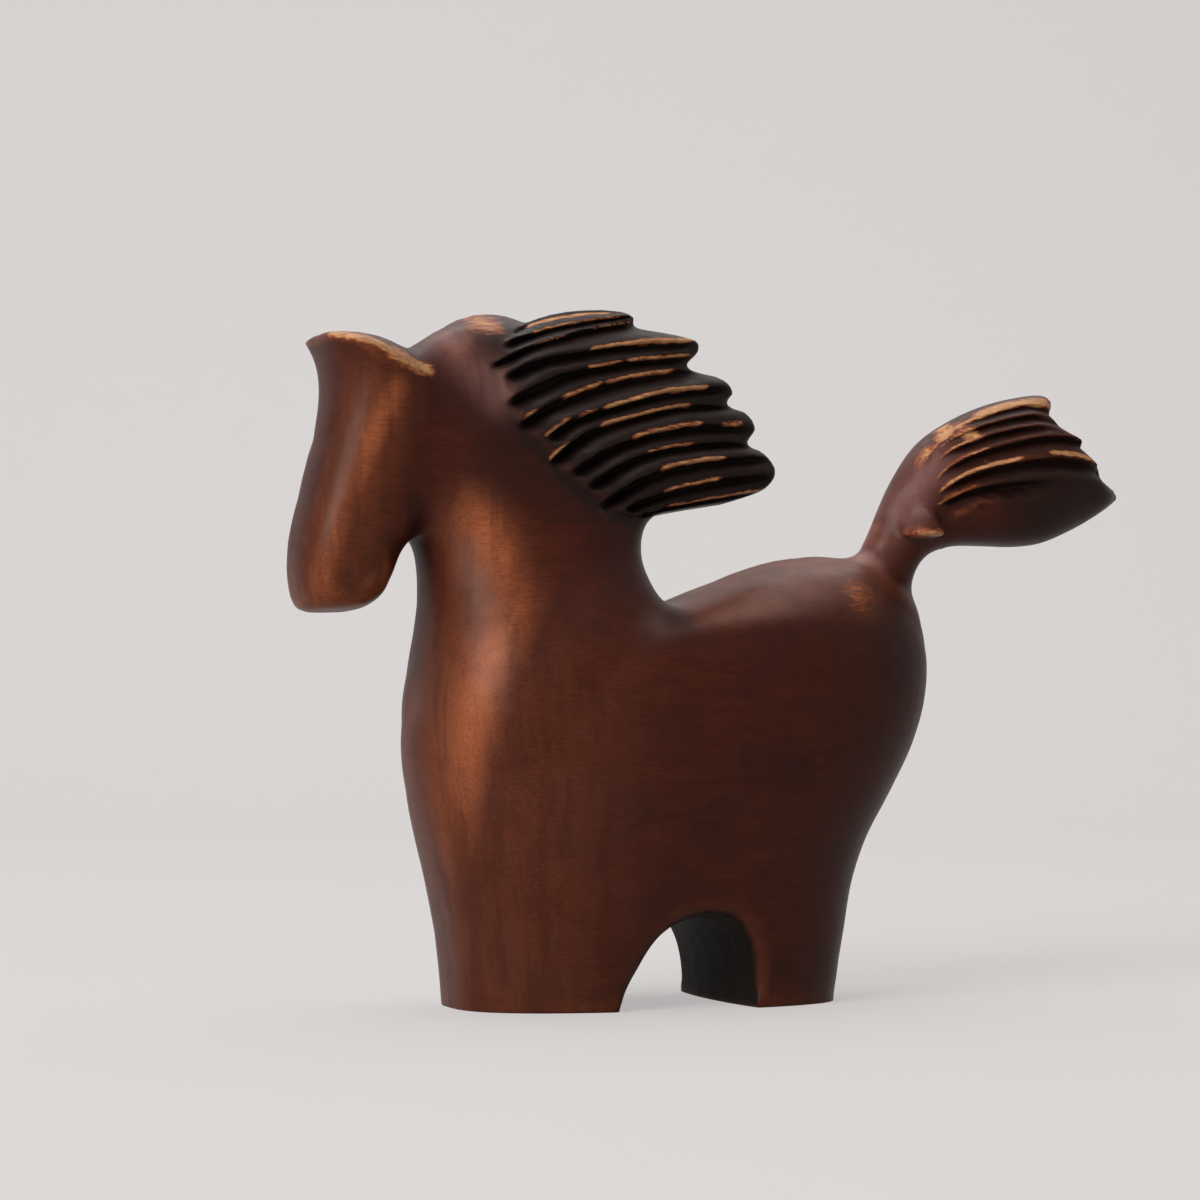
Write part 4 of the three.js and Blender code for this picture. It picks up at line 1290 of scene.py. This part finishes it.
def backdrop_mesh():
    bm = bmesh.new()
    ends = [bm.verts.new((FLOOR_BACK, side * FLOOR_HALF, 0)) for side in (-1, 1)]
    edges = [bm.edges.new(ends)]
    draw_out(bm, edges, (FLOOR_LENGTH, 0, 0))
    quarter = math.pi / 2
    step = SWEEP_RADIUS * quarter / SWEEP_TURNS
    for number in range(SWEEP_TURNS):
        angle = (number + 0.5) / SWEEP_TURNS * quarter
        edges = draw_out(bm, edges, (-math.cos(angle) * step, 0, math.sin(angle) * step))
    draw_out(bm, edges, (0, 0, WALL_HEIGHT))
    turn = Matrix.Rotation(math.radians(CAMERA_TURN - 90), 3, "Z")
    bmesh.ops.rotate(bm, verts=bm.verts, cent=(0, 0, 0), matrix=turn)
    bmesh.ops.recalc_face_normals(bm, faces=bm.faces)
    mesh = bpy.data.meshes.new("backdrop")
    bm.to_mesh(mesh)
    bm.free()
    for face in mesh.polygons:
        face.use_smooth = True
    return mesh


def backdrop_paper(settings):
    material, tree, shader = new_material("backdrop paper")
    place = add(tree, "ShaderNodeTexCoord").outputs["Object"]
    tooth = cloudy(tree, place, 30, detail=2, roughness=0.5)
    colour = blend(tree, tooth, dimmed(settings.floor, 0.985), settings.floor)
    tree.links.new(colour, shader.inputs["Base Color"])
    shader.inputs["Roughness"].default_value = 0.9
    shader.inputs["Specular IOR Level"].default_value = 0
    glow = add(tree, "ShaderNodeEmission", {"Color": (*BACKGROUND, 1), "Strength": 1}).outputs["Emission"]
    share = calc(tree, "MULTIPLY", seen_rays(tree), PAPER_GLOW)
    both = add(tree, "ShaderNodeMixShader", {0: share, 1: shader.outputs["BSDF"], 2: glow}).outputs["Shader"]
    tree.links.new(both, tree.nodes["Material Output"].inputs["Surface"])
    return material


def set_stage(settings):
    mesh = backdrop_mesh()
    mesh.materials.append(backdrop_paper(settings))
    new_object("backdrop", mesh)


def set_lamps(settings):
    for name, power, (place, size) in (
        ("key_lamp", settings.key_power, KEY_LAMP),
        ("top_lamp", settings.top_power, TOP_LAMP),
    ):
        light = bpy.data.lights.new(name, "AREA")
        light.energy = power
        light.size = size
        lamp = new_object(name, light)
        lamp.location = place
        lamp.rotation_euler = (Vector(LAMP_AIM) - Vector(place)).to_track_quat("-Z", "Y").to_euler()


def set_room(scene):
    """Plain dim light from all around, and the background where it is seen."""
    world = bpy.data.worlds.new("room")
    world.use_nodes = True
    tree = world.node_tree
    tree.nodes.clear()
    room = add(tree, "ShaderNodeBackground", {"Color": (*ROOM_COLOUR, 1), "Strength": ROOM_STRENGTH})
    wall = add(tree, "ShaderNodeBackground", {"Color": (*BACKGROUND, 1), "Strength": 1})
    both = add(tree, "ShaderNodeMixShader", {
        0: seen_rays(tree), 1: room.outputs["Background"], 2: wall.outputs["Background"],
    }).outputs["Shader"]
    add(tree, "ShaderNodeOutputWorld", {"Surface": both})
    scene.world = world


def set_camera(scene):
    data = bpy.data.cameras.new("photo_camera")
    data.sensor_width = CAMERA_SENSOR
    data.lens = CAMERA_LENS
    data.shift_y = CAMERA_SHIFT
    data.clip_start = 0.01
    camera = new_object("photo_camera", data)
    camera.location = CAMERA_PLACE
    camera.rotation_euler = (math.radians(90), 0, math.radians(CAMERA_TURN))
    scene.camera = camera
    scene.view_settings.view_transform = "Standard"


STEPS = (
    HORSE_OT_glue_up, HORSE_OT_carve_mane, HORSE_OT_carve_tail, HORSE_OT_part_and_stain, HORSE_OT_dowels,
    HORSE_OT_studio,
)
CLASSES = (HorseSettings, StudioSettings, *STEPS, HORSE_PT_panel)


def register():
    for each in CLASSES:
        bpy.utils.register_class(each)
    bpy.types.Scene.horse_settings = bpy.props.PointerProperty(type=HorseSettings)
    bpy.types.Scene.studio_settings = bpy.props.PointerProperty(type=StudioSettings)


def unregister():
    del bpy.types.Scene.studio_settings
    del bpy.types.Scene.horse_settings
    for each in reversed(CLASSES):
        bpy.utils.unregister_class(each)


def main():
    register()
    bpy.ops.horse.glue_up()
    bpy.ops.horse.carve_mane()
    bpy.ops.horse.carve_tail()
    bpy.ops.horse.part_and_stain()
    bpy.ops.horse.dowels()
    bpy.ops.horse.studio()


if __name__ == "__main__":
    main()
